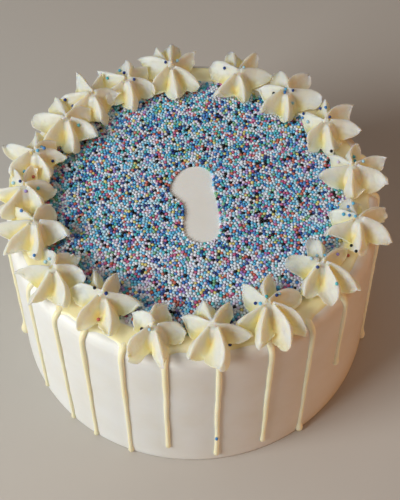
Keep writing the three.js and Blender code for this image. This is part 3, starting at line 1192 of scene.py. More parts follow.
@dataclass
class IcingBand:
    """The thin band of yellow icing round the top that the drips run from."""

    form: CakeForm
    drips: tuple[Drip, ...]
    # The band carries a painted glow that brightens it where it lies in shade.
    finish: SmoothButtercream = SmoothButtercream(
        light=from_screen(240, 231, 190), deep=from_screen(235, 222, 166), roughness=0.3,
        softness=0.6, soft_reach=2.4, glow_strength=0.08,
    )
    inner_radius: float = 84.6
    outer_radius: float = 94.4
    sway: float = 1.5
    sway_wave: float = 17.0
    fine_sway: float = 0.4
    fine_wave: float = 5.0
    wave_radius: float = 80.0
    tongue: float = 2.6
    tongue_width: float = 3.2
    thickness: float = 0.62
    sunk: float = 0.12
    fullness: float = 7.0
    around: int = 900
    across: int = 14

    def outer(self, degrees: np.ndarray) -> np.ndarray:
        """Gives the wavy outer edge, which reaches further where a drip leaves it.

        Args:
            degrees: Turns from the front towards +X.

        Returns:
            The radius at each turn.
        """
        angles = np.radians(degrees)
        outward = np.stack([np.sin(angles), -np.cos(angles), np.zeros_like(angles)], axis=1)
        place = self.wave_radius * outward
        radius = self.outer_radius + self.sway * ripple(place, self.sway_wave, seed=2.2)
        radius += self.fine_sway * ripple(place, self.fine_wave, seed=6.2)
        for drip in self.drips:
            away = np.radians((degrees - drip.degrees + 180) % 360 - 180) * self.outer_radius
            radius += self.tongue * np.exp(-((away / self.tongue_width) ** 2))
        return radius

    def build(self) -> bpy.types.Object:
        """Returns the finished band."""
        form = self.form
        degrees = np.arange(self.around) * 360 / self.around
        angles = np.radians(degrees)[:, None]
        share = np.linspace(0, 1, self.across)[None, :]
        radius = self.inner_radius + (self.outer(degrees)[:, None] - self.inner_radius) * share
        beyond = np.clip(radius - (form.top_radius - form.rim_round), 0, form.rim_round)
        ground = form.height - form.rim_round + np.sqrt(form.rim_round**2 - beyond**2)
        swell = np.sqrt(np.clip(1 - np.abs(2 * share - 1) ** self.fullness, 0, 1))
        height = ground - self.sunk + self.thickness * swell
        points = np.stack([radius * np.sin(angles), -radius * np.cos(angles), height], axis=-1)
        faces = []
        for i in range(self.around):
            here, there = i * self.across, (i + 1) % self.around * self.across
            faces += [(here + j, here + j + 1, there + j + 1, there + j) for j in range(self.across - 1)]
        mesh = mesh_from("icing_band", points.reshape(-1, 3), faces)
        material = self.finish.material("band_icing")
        return finish_piece(mesh, "icing_band", [CAKE_NODE], material)


# ---- piped flowers -------------------------------------------------------------------------------


@dataclass(frozen=True)
class FlowerPlan:
    """Where a flower is piped and which way the tips of its petals point."""

    degrees: float
    radius: float
    size: float
    bearings: tuple[float, ...]


@dataclass(frozen=True)
class PetalFaults:
    """Small faults that no two piped petals share: the middle of each and its spread.

    The petals draw them in this order.
    """

    bluntness: tuple[float, float] = (4.9, 2.5)
    edge_lift: tuple[float, float] = (2.3, 2.1)
    curl: tuple[float, float] = (1.2, 1.5)
    roll: tuple[float, float] = (0.0, math.radians(14))
    wave: tuple[float, float] = (0.8, 0.6)
    wave_count: tuple[float, float] = (1.1, 0.5)
    wave_start: tuple[float, float] = (math.pi, math.pi)
    frill: tuple[float, float] = (0.45, 0.4)
    frill_count: tuple[float, float] = (3.0, 1.2)
    frill_start: tuple[float, float] = (math.pi, math.pi)
    point: tuple[float, float] = (0.68, 0.18)
    skew: tuple[float, float] = (0.0, 3.0)

    def draw(self, stream: RandomStream) -> dict[str, float]:
        """Draws the faults of one petal.

        Args:
            stream: Stream that only the faults are drawn from.

        Returns:
            Each fault by its name.
        """
        found = {}
        for fault in fields(self):
            middle, spread = getattr(self, fault.name)
            found[fault.name] = middle + stream.spread(spread)
        return found


@dataclass(frozen=True)
class Petal:
    """What one petal is like: its sizes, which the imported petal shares, and its own faults."""

    length: float
    width: float
    height: float
    tip_lift: float
    crest: float
    sweep: float
    bearing: float
    bluntness: float
    edge_lift: float
    curl: float
    roll: float
    wave: float
    wave_count: float
    wave_start: float
    frill: float
    frill_count: float
    frill_start: float
    point: float
    skew: float


@dataclass(frozen=True)
class PetalRule:
    """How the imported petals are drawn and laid, so that the smooth ones follow them."""

    start: float = 1.6
    length: float = 18.7
    length_spread: float = 1.4
    outward_extra: float = 1.8
    sideways_less: float = 1.6
    width: float = 12.4
    width_spread: float = 2.5
    root_width: float = 0.46
    widest: float = 0.66
    height: float = 9.6
    height_spread: float = 1.2
    root_height: float = 1.2
    tip_height: float = 0.36
    highest: float = 0.6
    fall: float = 3.2
    crest_turn: float = 0.36
    crest_spread: float = 0.22
    crest_limit: float = 0.1
    droop: float = 2.0
    lift_spread: float = 1.2
    sweep: float = 2.2
    sweep_spread: float = 2.2
    foot: float = 0.9
    foot_rise: float = 1.6
    faults: PetalFaults = PetalFaults()

    def draw(self, plan: FlowerPlan, stream: RandomStream, wild: RandomStream) -> list[Petal]:
        """Draws the petals of one flower.

        Args:
            plan: Flower to draw.
            stream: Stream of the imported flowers, used up in the same order.
            wild: Stream for what only the smooth petals have.

        Returns:
            Its petals.
        """
        outward = math.radians(plan.degrees) - math.pi / 2
        petals = []
        for bearing in plan.bearings:
            off = math.radians(bearing)
            length = self.length + self.outward_extra * math.cos(off)
            length -= self.sideways_less * math.sin(off) ** 2
            droop = self.droop * math.cos(off) * math.cos(math.radians(plan.degrees))
            petal = Petal(
                length=plan.size * (length + stream.spread(self.length_spread)),
                width=self.width + stream.spread(self.width_spread),
                height=self.height + stream.spread(self.height_spread),
                tip_lift=stream.spread(self.lift_spread) - droop,
                crest=self.crest_place(outward + off, stream.spread(self.crest_spread)),
                sweep=self.sweep + stream.spread(self.sweep_spread),
                bearing=outward + off,
                **self.faults.draw(wild),
            )
            swept = math.atan2(-petal.sweep, petal.length)
            petals.append(replace(petal, bearing=outward + off - swept))
        return petals

    def crest_place(self, direction: float, shift: float) -> float:
        """Gives where the crest runs between the clockwise and the other edge of a petal.

        Args:
            direction: Which way the petal points, as an angle from +X.
            shift: What to add for this petal.

        Returns:
            Share of the width from the clockwise edge.
        """
        side = math.cos(direction)
        place = 0.5 + self.crest_turn * math.copysign(math.sqrt(abs(side)), side) + shift
        return min(max(place, self.crest_limit), 1 - self.crest_limit)

    def spine(self, petal: Petal, share: np.ndarray) -> tuple[np.ndarray, ...]:
        """Follows the crest of a petal.

        Args:
            petal: Petal to follow.
            share: Shares of its length.

        Returns:
            x and y of the crest, height of the side edges, rise of the crest above them
            and full width, each at every share.
        """
        x = self.start + (petal.length - self.start) * share
        y = -petal.sweep * share**2
        edge = self.foot + self.foot_rise * share + petal.tip_lift * share**3
        rise = petal.height * mix(self.root_height, 1.0, smooth_step(share, 0, self.highest))
        rise = rise * (1 - (1 - self.tip_height) * share**self.fall)
        width = petal.width * mix(self.root_width, 1.0, smooth_step(share, 0, self.widest))
        width = width * np.clip(1 - share**petal.bluntness, 0, 1) ** petal.point
        y = y + (petal.crest - 0.5) * width
        return x, y, edge, rise, width


def skin_faces(rings: int, size: int) -> list[Face]:
    """Joins rings of points and closes both ends.

    Args:
        rings: Number of rings.
        size: Points in a ring; two end points follow the last ring.

    Returns:
        Faces of the closed skin.
    """
    faces: list[Face] = []
    for ring in range(rings - 1):
        for i in range(size):
            j = (i + 1) % size
            faces.append((ring * size + i, ring * size + j, (ring + 1) * size + j, (ring + 1) * size + i))
    last = (rings - 1) * size
    for i in range(size):
        j = (i + 1) % size
        faces.append((j, i, rings * size))
        faces.append((last + i, last + j, rings * size + 1))
    return faces


@dataclass(frozen=True)
class PetalSkin:
    """How one petal is laid round its spine: a ridged leaf, thin and torn along its edge."""

    rule: PetalRule = PetalRule()
    stations: int = 30
    ring_points: int = 26
    crowding: float = 1.5
    first_reach: float = 0.985
    reach: float = 0.996
    crest_round: float = 0.03
    broad_power: float = 1.75
    steep_power: float = 0.85
    steep_slope: float = 0.5
    least_drop: float = 0.12
    broad_from: tuple[float, float] = (0.3, 0.6)
    rim_power: float = 2.5
    rim_from: tuple[float, float] = (0.2, 0.75)
    wave_shift: float = 1.3
    frill_shift: float = 2.1
    frill_lift: float = 0.5
    frill_out: float = 0.12
    curl_power: float = 5.0
    crest_thickness: float = 3.2
    side_crest_thickness: float = 1.5
    edge_thickness: float = 0.8
    thickness_power: float = 0.7
    root_thickening: float = 2.8
    root_length: float = 1.7
    tip_power: float = 9.0
    edge_power: float = 6.0
    least_tip: float = 0.15
    roll_from: float = 0.3
    skew_from: tuple[float, float] = (0.4, 0.9)

    def lay(self, petal: Petal) -> tuple[np.ndarray, list[Face]]:
        """Lays the closed skin of one petal.

        Args:
            petal: Petal to lay.

        Returns:
            Points and faces in the flower's own frame.
        """
        share = 1 - (1 - np.linspace(0, self.first_reach, self.stations)) ** self.crowding
        share = share / share[-1] * self.reach
        x, y, edge, rise, width = (values[:, None] for values in self.rule.spine(petal, share))
        s = share[:, None]
        half_ring = self.ring_points // 2
        top = np.cos(np.linspace(0, math.pi, half_ring, endpoint=False))
        v = np.concatenate([top, -top])[None, :]
        off_crest = np.abs(v)
        side = np.where(v > 0, 1 - petal.crest, petal.crest)
        broad = smooth_step(side, *self.broad_from)
        ridge = self.ridge(off_crest, broad)
        drop = np.clip(side * width / (self.steep_slope * rise), self.least_drop, 1)
        rim = off_crest**self.rim_power * smooth_step(s, *self.rim_from)
        wave = petal.wave * self.ripples(s, v, petal.wave_count, petal.wave_start, self.wave_shift)
        torn = petal.frill * self.ripples(s, v, petal.frill_count, petal.frill_start, self.frill_shift)
        lifted = (petal.edge_lift * broad + wave + self.frill_lift * torn) * rim
        z = edge + rise * (1 - drop * (1 - ridge)) + lifted + petal.curl * s**self.curl_power
        under = np.repeat([0.0, 1.0], half_ring)[None, :]
        z = z - under * self.thickness(petal, s, off_crest, ridge)
        across = v * side * width * (1 + self.frill_out * torn * rim)
        tilt = petal.roll * smooth_step(s, self.roll_from, 1.0)
        px = x + petal.skew * v * off_crest * smooth_step(s, *self.skew_from)
        py = y + across * np.cos(tilt)
        pz = z + across * np.sin(tilt)
        cos_b, sin_b = math.cos(petal.bearing), math.sin(petal.bearing)
        skin = np.stack([px * cos_b - py * sin_b, px * sin_b + py * cos_b, pz], axis=-1).reshape(-1, 3)
        ends = [skin[: self.ring_points].mean(axis=0), skin[-self.ring_points:].mean(axis=0)]
        return np.concatenate([skin, ends]), skin_faces(self.stations, self.ring_points)

    def ridge(self, off_crest: np.ndarray, broad: np.ndarray) -> np.ndarray:
        """Shapes the cross-section of a petal.

        Args:
            off_crest: Distance from the crest, 1 at an edge.
            broad: 1 on the broad side of the crest and 0 on the steep one.

        Returns:
            Height between the edge, 0, and the crest, 1.
        """
        blunt = self.crest_round
        ridge = 1 - (np.sqrt(off_crest**2 + blunt**2) - blunt) / (math.sqrt(1 + blunt**2) - blunt)
        return np.clip(ridge, 0, 1) ** mix(self.steep_power, self.broad_power, broad)

    @staticmethod
    def ripples(s: np.ndarray, v: np.ndarray, count: float, start: float, shift: float) -> np.ndarray:
        """Makes waves along a petal, out of step on its two edges.

        Args:
            s: Shares of the petal's length.
            v: Places across it, from -1 to 1.
            count: Number of waves.
            start: Angle that the first wave starts at.
            shift: Angle by which the edges differ from the crest.

        Returns:
            Values from -1 to 1.
        """
        return np.sin(count * 2 * math.pi * s + start + shift * np.sign(v))

    def thickness(
        self, petal: Petal, s: np.ndarray, off_crest: np.ndarray, ridge: np.ndarray
    ) -> np.ndarray:
        """Gives how thick a petal is, from its root to its tip.

        Args:
            petal: Petal to measure.
            s: Shares of its length.
            off_crest: Distance from the crest, 1 at an edge.
            ridge: Height between edge and crest.

        Returns:
            The thickness.
        """
        centred = 4 * petal.crest * (1 - petal.crest)
        crest_thickness = mix(self.side_crest_thickness, self.crest_thickness, centred)
        thick = mix(self.edge_thickness, crest_thickness, ridge**self.thickness_power)
        thick = thick * mix(self.root_thickening, 1.0, np.clip(self.root_length * s, 0, 1))
        thick = thick * np.sqrt(np.clip(1 - s**self.tip_power, self.least_tip, 1))
        return thick * np.sqrt(np.clip(1 - off_crest**self.edge_power, 0.0, 1))


@dataclass
class PipedFlowers:
    """The ring of drop flowers, each with its petals round a little cone of buttercream."""

    form: CakeForm
    plans: tuple[FlowerPlan, ...] = tuple(FlowerPlan(*row) for row in (
        (6, 85.5, 1.01, (-168, -118, -43, -2, 71, 143)),
        (26, 82.5, 1.06, (-164, -82, -37, -3, 32, 94, 148)),
        (52, 82, 1.06, (-151, -82, -40, 0, 81, 134)),
        (74, 89, 0.95, (-140, -80, -17, 50, 114, 174)),
        (97, 87, 1.01, (-170, -100, -38, 12, 72, 126)),
        (119, 86, 0.99, (-161, -112, -41, 14, 60, 114)),
        (140, 84, 1.03, (-142, -60, -2, 47, 108, 170)),
        (161, 84.5, 1.03, (-152, -70, -12, 25, 74, 153)),
        (-173, 86, 1.05, (-177, -130, -50, -8, 18, 58, 130)),
        (-155, 84, 0.96, (-128, -67, -20, 36, 108, 162)),
        (-140, 85, 0.93, (-118, -56, -10, 47, 101, 157)),
        (-125, 84, 1.05, (-175, -105, -34, 22, 90, 135)),
        (-106, 87.5, 0.94, (-164, -120, -67, -12, 63, 135)),
        (-91, 89, 0.94, (-164, -98, -60, 0, 53, 127)),
        (-75, 84.5, 1.07, (-134, -62, -12, 35, 76, 144)),
        (-54, 87.5, 0.95, (-165, -111, -39, 21, 68, 138)),
        (-34, 80.5, 1.02, (-169, -130, -74, -6, 42, 111)),
        (-13, 87.5, 0.88, (-170, -119, -31, 27, 98, 170)),
    ))
    seed: int = 9
    wild_seed: int = 77
    skin: PetalSkin = PetalSkin()
    finish: PipedButtercream = PipedButtercream()
    core: tuple[tuple[float, float], ...] = (
        (9.2, 1.0), (7.0, 2.8), (5.2, 5.0), (3.8, 7.4), (2.7, 9.2), (1.5, 10.2),
    )
    core_foot: tuple[float, float] = (9.4, -0.8)
    core_top: float = 10.4
    core_sides: int = 20
    voxel: float = 0.375
    smoothing: int = 2
    smoothing_share: float = 0.55
    lumps: tuple[float, float] = (0.16, 3.4)
    fine_lumps: tuple[float, float] = (0.07, 1.3)
    rays: int = 10
    quick_rays: int = 4
    ray_reach: float = 8.0
    ray_start: float = 0.25
    ray_spread: float = 0.92
    ray_turn: float = 1.7
    ray_near: float = 0.6
    depth_smoothing: int = 6
    depth_share: float = 0.6
    # Weights and range of the painted warm shade in the folds and low down.
    fold_weight: float = 0.75
    low_weight: float = 0.36
    low_from: float = 0.5
    fold_range: tuple[float, float] = (0.1, 0.58)
    shapes: list[Shape] = field(default_factory=list)

    def core_skin(self) -> tuple[np.ndarray, list[Face]]:
        """Returns the skin of the little cone in the middle, its foot pressed into the icing."""
        angle = np.arange(self.core_sides) * 2 * math.pi / self.core_sides
        rings = [
            np.stack([r * np.cos(angle), r * np.sin(angle), np.full(self.core_sides, z)], axis=1)
            for r, z in (self.core_foot, *self.core)
        ]
        points = np.concatenate([*rings, [[0, 0, self.core_foot[1]], [0, 0, self.core_top]]])
        return points, skin_faces(len(rings), self.core_sides)

    def piped(self, plan: FlowerPlan, petals: Sequence[Petal], name: str) -> bpy.types.Mesh:
        """Melts petals and core of one flower together.

        Args:
            plan: Where the flower is.
            petals: Its petals.
            name: Name of the mesh.

        Returns:
            The flower's mesh in place.
        """
        points, faces = [], []
        for skin, skin_corners in [self.core_skin(), *(self.skin.lay(petal) for petal in petals)]:
            first = sum(len(p) for p in points)
            points.append(skin)
            faces += [tuple(first + i for i in face) for face in skin_corners]
        rough = show(mesh_from(name, np.concatenate(points), faces), name)
        remesh = rough.modifiers.new("melt", "REMESH")
        remesh.mode = "VOXEL"
        remesh.voxel_size = self.voxel
        mesh = evaluated_copy(rough, name)
        melted = averaged(vertices_of(mesh), edges_of(mesh), self.smoothing, self.smoothing_share)
        move_vertices(mesh, melted + round_point(plan.degrees, plan.radius, self.form.height))
        mesh.shade_smooth()
        self.roughen(mesh)
        return mesh

    def roughen(self, mesh: bpy.types.Mesh) -> None:
        """Adds the faint lumps of piped buttercream.

        Args:
            mesh: Flower to change.
        """
        points, normals = vertices_of(mesh), normals_of(mesh)
        (rise, size), (fine_rise, fine_size) = self.lumps, self.fine_lumps
        lumps = rise * ripple(points, size, seed=2.0) + fine_rise * ripple(points, fine_size, seed=8.0)
        move_vertices(mesh, points + normals * lumps[:, None])

    def fold_depths(self, meshes: Sequence[bpy.types.Mesh]) -> list[np.ndarray]:
        """Measures how deep each point lies between petals, for the painted warm shade of the folds.

        Args:
            meshes: All flowers in place.

        Returns:
            For each flower one value a vertex, from 0 on an edge to 1 deep in a fold.
        """
        corners, faces, first = [], [], 0
        for mesh in meshes:
            corners.append(vertices_of(mesh))
            faces += [tuple(first + v for v in face.vertices) for face in mesh.polygons]
            first += len(mesh.vertices)
        tree = BVHTree.FromPolygons([tuple(p) for p in np.concatenate(corners).tolist()], faces)
        count = self.rays
        place = (np.arange(count) + 0.5) / count
        depths = []
        for mesh, points in zip(meshes, corners):
            normals = unit(normals_of(mesh))
            helper = np.where(np.abs(normals[:, 2:3]) < 0.9, [[0.0, 0.0, 1.0]], [[1.0, 0.0, 0.0]])
            across = unit(np.cross(normals, helper))
            other = np.cross(normals, across)
            turn = np.arange(len(points)) * GOLDEN_ANGLE * self.ray_turn
            hidden = np.zeros(len(points))
            starts = points + normals * self.ray_start
            for k in range(count):
                lift = math.sqrt(1 - place[k] * self.ray_spread)
                spread = math.sqrt(1 - lift * lift)
                angle = (turn + k * GOLDEN_ANGLE)[:, None]
                ways = normals * lift + (across * np.cos(angle) + other * np.sin(angle)) * spread
                hidden += self.cast(tree, starts, ways)
            shares = hidden / count
            depths.append(averaged(shares, edges_of(mesh), self.depth_smoothing, self.depth_share))
        return depths

    def cast(self, tree: BVHTree, starts: np.ndarray, ways: np.ndarray) -> np.ndarray:
        """Casts one ray from each point.

        Args:
            tree: What the rays may hit.
            starts: Where they start.
            ways: Which way they go.

        Returns:
            1 for a ray that is stopped at once, less for a later stop and 0 for one that gets away.
        """
        reach = self.ray_reach
        stopped = []
        for start, way in zip(starts.tolist(), ways.tolist()):
            distance = tree.ray_cast(start, way, reach)[3]
            stopped.append(0.0 if distance is None else 1 - self.ray_near * distance / reach)
        return np.array(stopped)

    def build(self) -> list[bpy.types.Object]:
        """Returns the finished flowers in order round the cake."""
        stream, wild = RandomStream(self.seed), RandomStream(self.wild_seed)
        material = self.finish.material("piped_buttercream")
        meshes = []
        rule = self.skin.rule
        for number, plan in enumerate(self.plans, start=1):
            petals = rule.draw(plan, stream, wild)
            meshes.append(self.piped(plan, petals, f"flower_{number:02d}_piped"))
        pieces = []
        for number, (mesh, depth) in enumerate(zip(meshes, self.fold_depths(meshes)), start=1):
            # Painted warm shade: the share of blocked rays plus the lowness near the icing, stored for
            # the colour ramp.
            low = 1 - smooth_step(vertices_of(mesh)[:, 2] - self.form.height, self.low_from, rule.height)
            folded = self.fold_weight * depth + self.low_weight * low
            paint(mesh, self.finish.shade_attribute, smooth_step(folded, *self.fold_range))
            self.shapes.append(shape_of(mesh))
            node = f"flower_{number:02d}"
            pieces.append(finish_piece(mesh, f"{node}_piped", [node], material))
        return pieces


# ---- nonpareils ------------------------------------------------------------------------------------


@dataclass(frozen=True)
class StrayGrain:
    """A grain that rolled out of the bed: its place in the picture frame and its kind."""

    across: float
    down: float
    sugar: Sugar


@dataclass(frozen=True)
class SugarMixture:
    """Which kinds lie where: paler in front, bluer on the left and warmer on the right."""

    pale: tuple[Sugar, ...] = (Sugar.WHITE, Sugar.PEARL, Sugar.LILAC_WHITE)
    blue: tuple[Sugar, ...] = (Sugar.ICE_BLUE, Sugar.SKY_BLUE, Sugar.TURQUOISE)
    dark: tuple[Sugar, ...] = (Sugar.NAVY, Sugar.BLACK)
    green: tuple[Sugar, ...] = (Sugar.TURQUOISE, Sugar.GREEN)
    warm: tuple[Sugar, ...] = (Sugar.MAGENTA, Sugar.CORAL, Sugar.LAVENDER)
    pale_front: float = 0.55
    dark_front: float = 0.45
    green_front: float = 0.35
    warm_front: float = 0.6
    warm_right: float = 0.75
    pale_right: float = 0.3
    blue_left: float = 0.25
    front: tuple[float, float] = (15, 60)
    sides: tuple[float, float] = (5, 50)
    clumping: float = 0.5
    clump_size: float = 6.0
    drift_seed: float = 4.3

    @staticmethod
    def among(group: tuple[Sugar, ...]) -> np.ndarray:
        """Returns for each kind whether it belongs to a group."""
        return np.array([sugar in group for sugar in Sugar])

    def choose(self, places: np.ndarray, random: np.random.Generator) -> np.ndarray:
        """Chooses a kind for each grain.

        Args:
            places: Places of the grains.
            random: Source of the choice.

        Returns:
            The number of the kind of each grain.
        """
        pale, blue, dark = self.among(self.pale), self.among(self.blue), self.among(self.dark)
        green, warm = self.among(self.green), self.among(self.warm)
        front = smooth_step(-places[:, 1], *self.front)[:, None]
        left = smooth_step(-places[:, 0], *self.sides)[:, None]
        right = smooth_step(places[:, 0], *self.sides)[:, None]
        shares = np.array([sugar.share for sugar in Sugar])[None, :]
        paler = np.maximum(self.pale_front * front, self.pale_right * right)
        shares = shares * (1 + paler * pale) * (1 + self.blue_left * left * blue)
        shares = shares * (1 - self.dark_front * front * dark) * (1 - self.green_front * front * green)
        shares = shares * (1 + np.maximum(self.warm_front * front, self.warm_right * right) * warm)
        drift = [
            ripple(places, self.clump_size, self.drift_seed * number) for number in range(len(Sugar))
        ]
        shares = shares * np.exp(self.clumping * np.stack(drift, axis=1))
        reach = np.cumsum(shares / shares.sum(axis=1, keepdims=True), axis=1)
        drawn = random.random(len(places))[:, None]
        return np.minimum((drawn > reach).sum(axis=1), len(Sugar) - 1)


@dataclass
class NonpareilBed:
    """One dense layer of nonpareils round the bare numeral.

    Sizes and gaps are in millimetres, apart from the row's spacing and offset, the
    numeral's gap and the reach of the filling, which are shares of a grain's diameter.
    """

    form: CakeForm
    numeral: Numeral
    flowers: PipedFlowers
    diameter: float = 1.84
    diameter_spread: float = 0.1
    coverage: float = 0.86
    jitter: float = 0.55
    settle_rounds: int = 22
    quick_rounds: int = 8
    push_share: float = 0.45
    bed_height: float = 109.1
    sunk: float = 0.22
    lift_spread: float = 0.16
    ragged_edge: float = 2.6
    ragged_power: float = 2.2
    numeral_gap: float = 1.3
    flower_gap: float = 5.6
    row_spacing: float = 1.02
    row_offset: float = 0.52
    on_top_share: float = 0.02
    on_top_lift: tuple[float, float] = (0.3, 0.75)
    filling_share: float = 0.42
    filling_tries: int = 12
    filling_choice: int = 2
    filling_reach: tuple[float, float] = (0.5, 0.8)
    filling_gap: float = 0.6
    filling_drop: float = 0.36
    ball_fineness: int = 2
    full_turn: float = 6.28
    tint_seed: float = 5.0
    mixture: SugarMixture = SugarMixture()
    seed: int = 20

    def lay(self) -> np.ndarray:
        """Returns the places of the grains in the bed, one a row."""
        random = np.random.default_rng(self.seed)
        area = math.pi * self.form.bed_radius**2
        count = int(area * self.coverage / (math.pi * self.diameter**2 / 4))
        order = np.arange(count) + 0.5
        radius = self.form.bed_radius * np.sqrt(order / count)
        angle = order * GOLDEN_ANGLE
        flat = np.stack([radius * np.cos(angle), radius * np.sin(angle)], axis=1)
        flat += random.normal(0, self.jitter, flat.shape)
        for _ in range(self.settle_rounds):
            flat = self.settle(flat)
        reach = np.hypot(flat[:, 0], flat[:, 1])
        edge = self.form.bed_radius - self.ragged_edge * random.random(count) ** self.ragged_power
        keep = reach < edge
        keep &= self.numeral.distance(flat) > self.diameter * self.numeral_gap
        for plan in self.flowers.plans:
            middle = round_point(plan.degrees, plan.radius, 0)[:2]
            keep &= np.hypot(*(flat - middle).T) > self.flower_gap
        row = self.numeral.row(self.diameter * self.row_spacing, self.diameter * self.row_offset)
        flat = np.concatenate([flat[keep], row])
        middle_height = self.bed_height + self.diameter / 2 - self.sunk
        lift = random.uniform(-self.lift_spread, self.lift_spread, len(flat))
        raised = random.random(len(flat)) < self.on_top_share
        lift[raised] += random.uniform(*self.on_top_lift, raised.sum())
        filling = self.hollows(flat, random)
        return np.concatenate([
            np.column_stack([flat, middle_height + lift]),
            np.column_stack([filling, np.full(len(filling), middle_height - self.filling_drop)]),
        ])

    @staticmethod
    def near_tree(flat: np.ndarray) -> KDTree:
        """Makes a tree that finds the grains near a place.

        Args:
            flat: Places of the grains as x, y rows.

        Returns:
            The tree.
        """
        tree = KDTree(len(flat))
        for i, (x, y) in enumerate(flat.tolist()):
            tree.insert((x, y, 0), i)
        tree.balance()
        return tree

    def hollows(self, flat: np.ndarray, random: np.random.Generator) -> np.ndarray:
        """Finds the widest hollows between grains, where one more lies deeper.

        Args:
            flat: Places of the grains as x, y rows.
            random: Source of the places to try.

        Returns:
            Places of the filling grains.
        """
        tree = self.near_tree(flat)
        wanted = int(self.filling_share * len(flat))
        found: list[tuple[float, float, float]] = []
        tried = flat[random.integers(0, len(flat), self.filling_tries * wanted)]
        for x, y in tried.tolist():
            angle = random.random() * 2 * math.pi
            reach = self.diameter * random.uniform(*self.filling_reach)
            place = (x + reach * math.cos(angle), y + reach * math.sin(angle), 0.0)
            gap = tree.find(place)[2]
            found.append((gap, place[0], place[1]))
        found.sort(reverse=True)
        places = np.array(found)[: self.filling_choice * wanted, 1:]
        keep = np.hypot(places[:, 0], places[:, 1]) < self.form.bed_radius - self.ragged_edge
        keep &= self.numeral.distance(places) > self.diameter * self.filling_gap
        return places[keep][:wanted]

    def settle(self, flat: np.ndarray) -> np.ndarray:
        """Pushes grains that overlap apart.

        Args:
            flat: Places as x, y rows.

        Returns:
            The places after one push.
        """
        tree = self.near_tree(flat)
        pushed = flat.copy()
        for i, (x, y) in enumerate(flat.tolist()):
            for near, j, gap in tree.find_range((x, y, 0), self.diameter):
                if j != i and gap > TINY:
                    push = self.push_share * (self.diameter - gap) / gap
                    pushed[i, 0] += (x - near[0]) * push
                    pushed[i, 1] += (y - near[1]) * push
        return pushed

    def tree(self) -> bpy.types.NodeTree:
        """Returns the geometry tree that puts a small ball on every point."""
        inputs = {
            "Places": Socket.SHAPE, "Grain Radius": Socket.NUMBER, "Size Spread": Socket.NUMBER,
            "Seed": Socket.COUNT, "Shell": Socket.FINISH,
        }
        tree, graph, given = new_geometry_tree("nonpareils", inputs, "Grains")
        seed, spread = given["Seed"], given["Size Spread"]
        ball = graph.node(
            "GeometryNodeMeshIcoSphere", {},
            {"Radius": given["Grain Radius"], "Subdivisions": self.ball_fineness}, "Mesh",
        )
        turn = graph.node(
            "FunctionNodeRandomValue", {"data_type": "FLOAT_VECTOR"},
            {0: (0.0,) * 3, 1: (self.full_turn,) * 3, "Seed": seed},
        )
        grains = graph.node("GeometryNodeInstanceOnPoints", {}, {
            "Points": given["Places"], "Instance": ball, "Rotation": turn,
            "Scale": self.random_number(graph, 1 - spread, 1 + spread, seed),
        })
        tinted = graph.node(
            "GeometryNodeStoreNamedAttribute", {"data_type": "FLOAT", "domain": "INSTANCE"},
            {
                "Geometry": grains, "Name": "grain_tint",
                "Value": self.random_number(graph, 0.0, 1.0, seed + self.tint_seed),
            },
        )
        close_geometry_tree(graph, tinted, given["Shell"], "Grains")
        return tree

    @staticmethod
    def random_number(graph: Graph, low: Wire | float, high: Wire | float, seed: Wire) -> Wire:
        """Adds a random number for each grain to a geometry tree.

        Args:
            graph: Graph of the tree.
            low: Lowest value.
            high: Highest value.
            seed: Seed of the draw.

        Returns:
            The number.
        """
        values = {2: low, 3: high, "Seed": seed}
        return graph.node("FunctionNodeRandomValue", {"data_type": "FLOAT"}, values, 1)

    def build(self, strays: dict[Sugar, list[Point]]) -> list[bpy.types.Object]:
        """Makes one piece of each kind of nonpareil.

        Args:
            strays: Places of the grains that strayed, by kind.

        Returns:
            The finished pieces.
        """
        places = self.lay()
        random = np.random.default_rng(self.seed + 1)
        kinds = self.mixture.choose(places, random)
        tree = self.tree()
        pieces = []
        for number, sugar in enumerate(Sugar):
            points = [tuple(p) for p in places[kinds == number].tolist()] + strays.get(sugar, [])
            mesh = bpy.data.meshes.new(f"places_{sugar.label}")
            mesh.from_pydata(points, [], [])
            holder = show(mesh, f"places_{sugar.label}")
            run_tree(holder, tree, {
                "Grain Radius": self.diameter / 2, "Size Spread": self.diameter_spread,
                "Seed": number, "Shell": sugar.shell().material(f"sugar_{sugar.label}"),
            })
            grains = evaluated_copy(holder, f"nonpareils_{sugar.label}")
            pieces.append(finish_piece(grains, f"nonpareils_{sugar.label}", [CAKE_NODE]))
        return pieces


# ---- studio ----------------------------------------------------------------------------------------


@dataclass(frozen=True)
class PaleFloor:
    """A plain pale floor, hardly cloudy."""

    colour: Colour = from_screen(190, 184, 176)
    lightening: float = 1.04
    cloud_size: float = 180.0
    roughness: float = 0.75

    def material(self, name: str) -> bpy.types.Material:
        """Makes the floor's material.

        Args:
            name: Name of the material.

        Returns:
            The finished material.
        """
        made, graph = new_material(name)
        cloudy = graph.noise(graph.node("ShaderNodeTexCoord", result="Object"), self.cloud_size)
        paler = tuple(min(share * self.lightening, 1.0) for share in self.colour)
        close_material(graph, {
            "Base Color": graph.blend(cloudy, self.colour, paler), "Roughness": self.roughness,
        })
        return made


@dataclass(frozen=True)
class SoftLight:
    """An area light: its place and size in metres, its power in watts and its colour."""

    name: str
    place: Point
    size: tuple[float, float]
    power: float
    colour: Colour


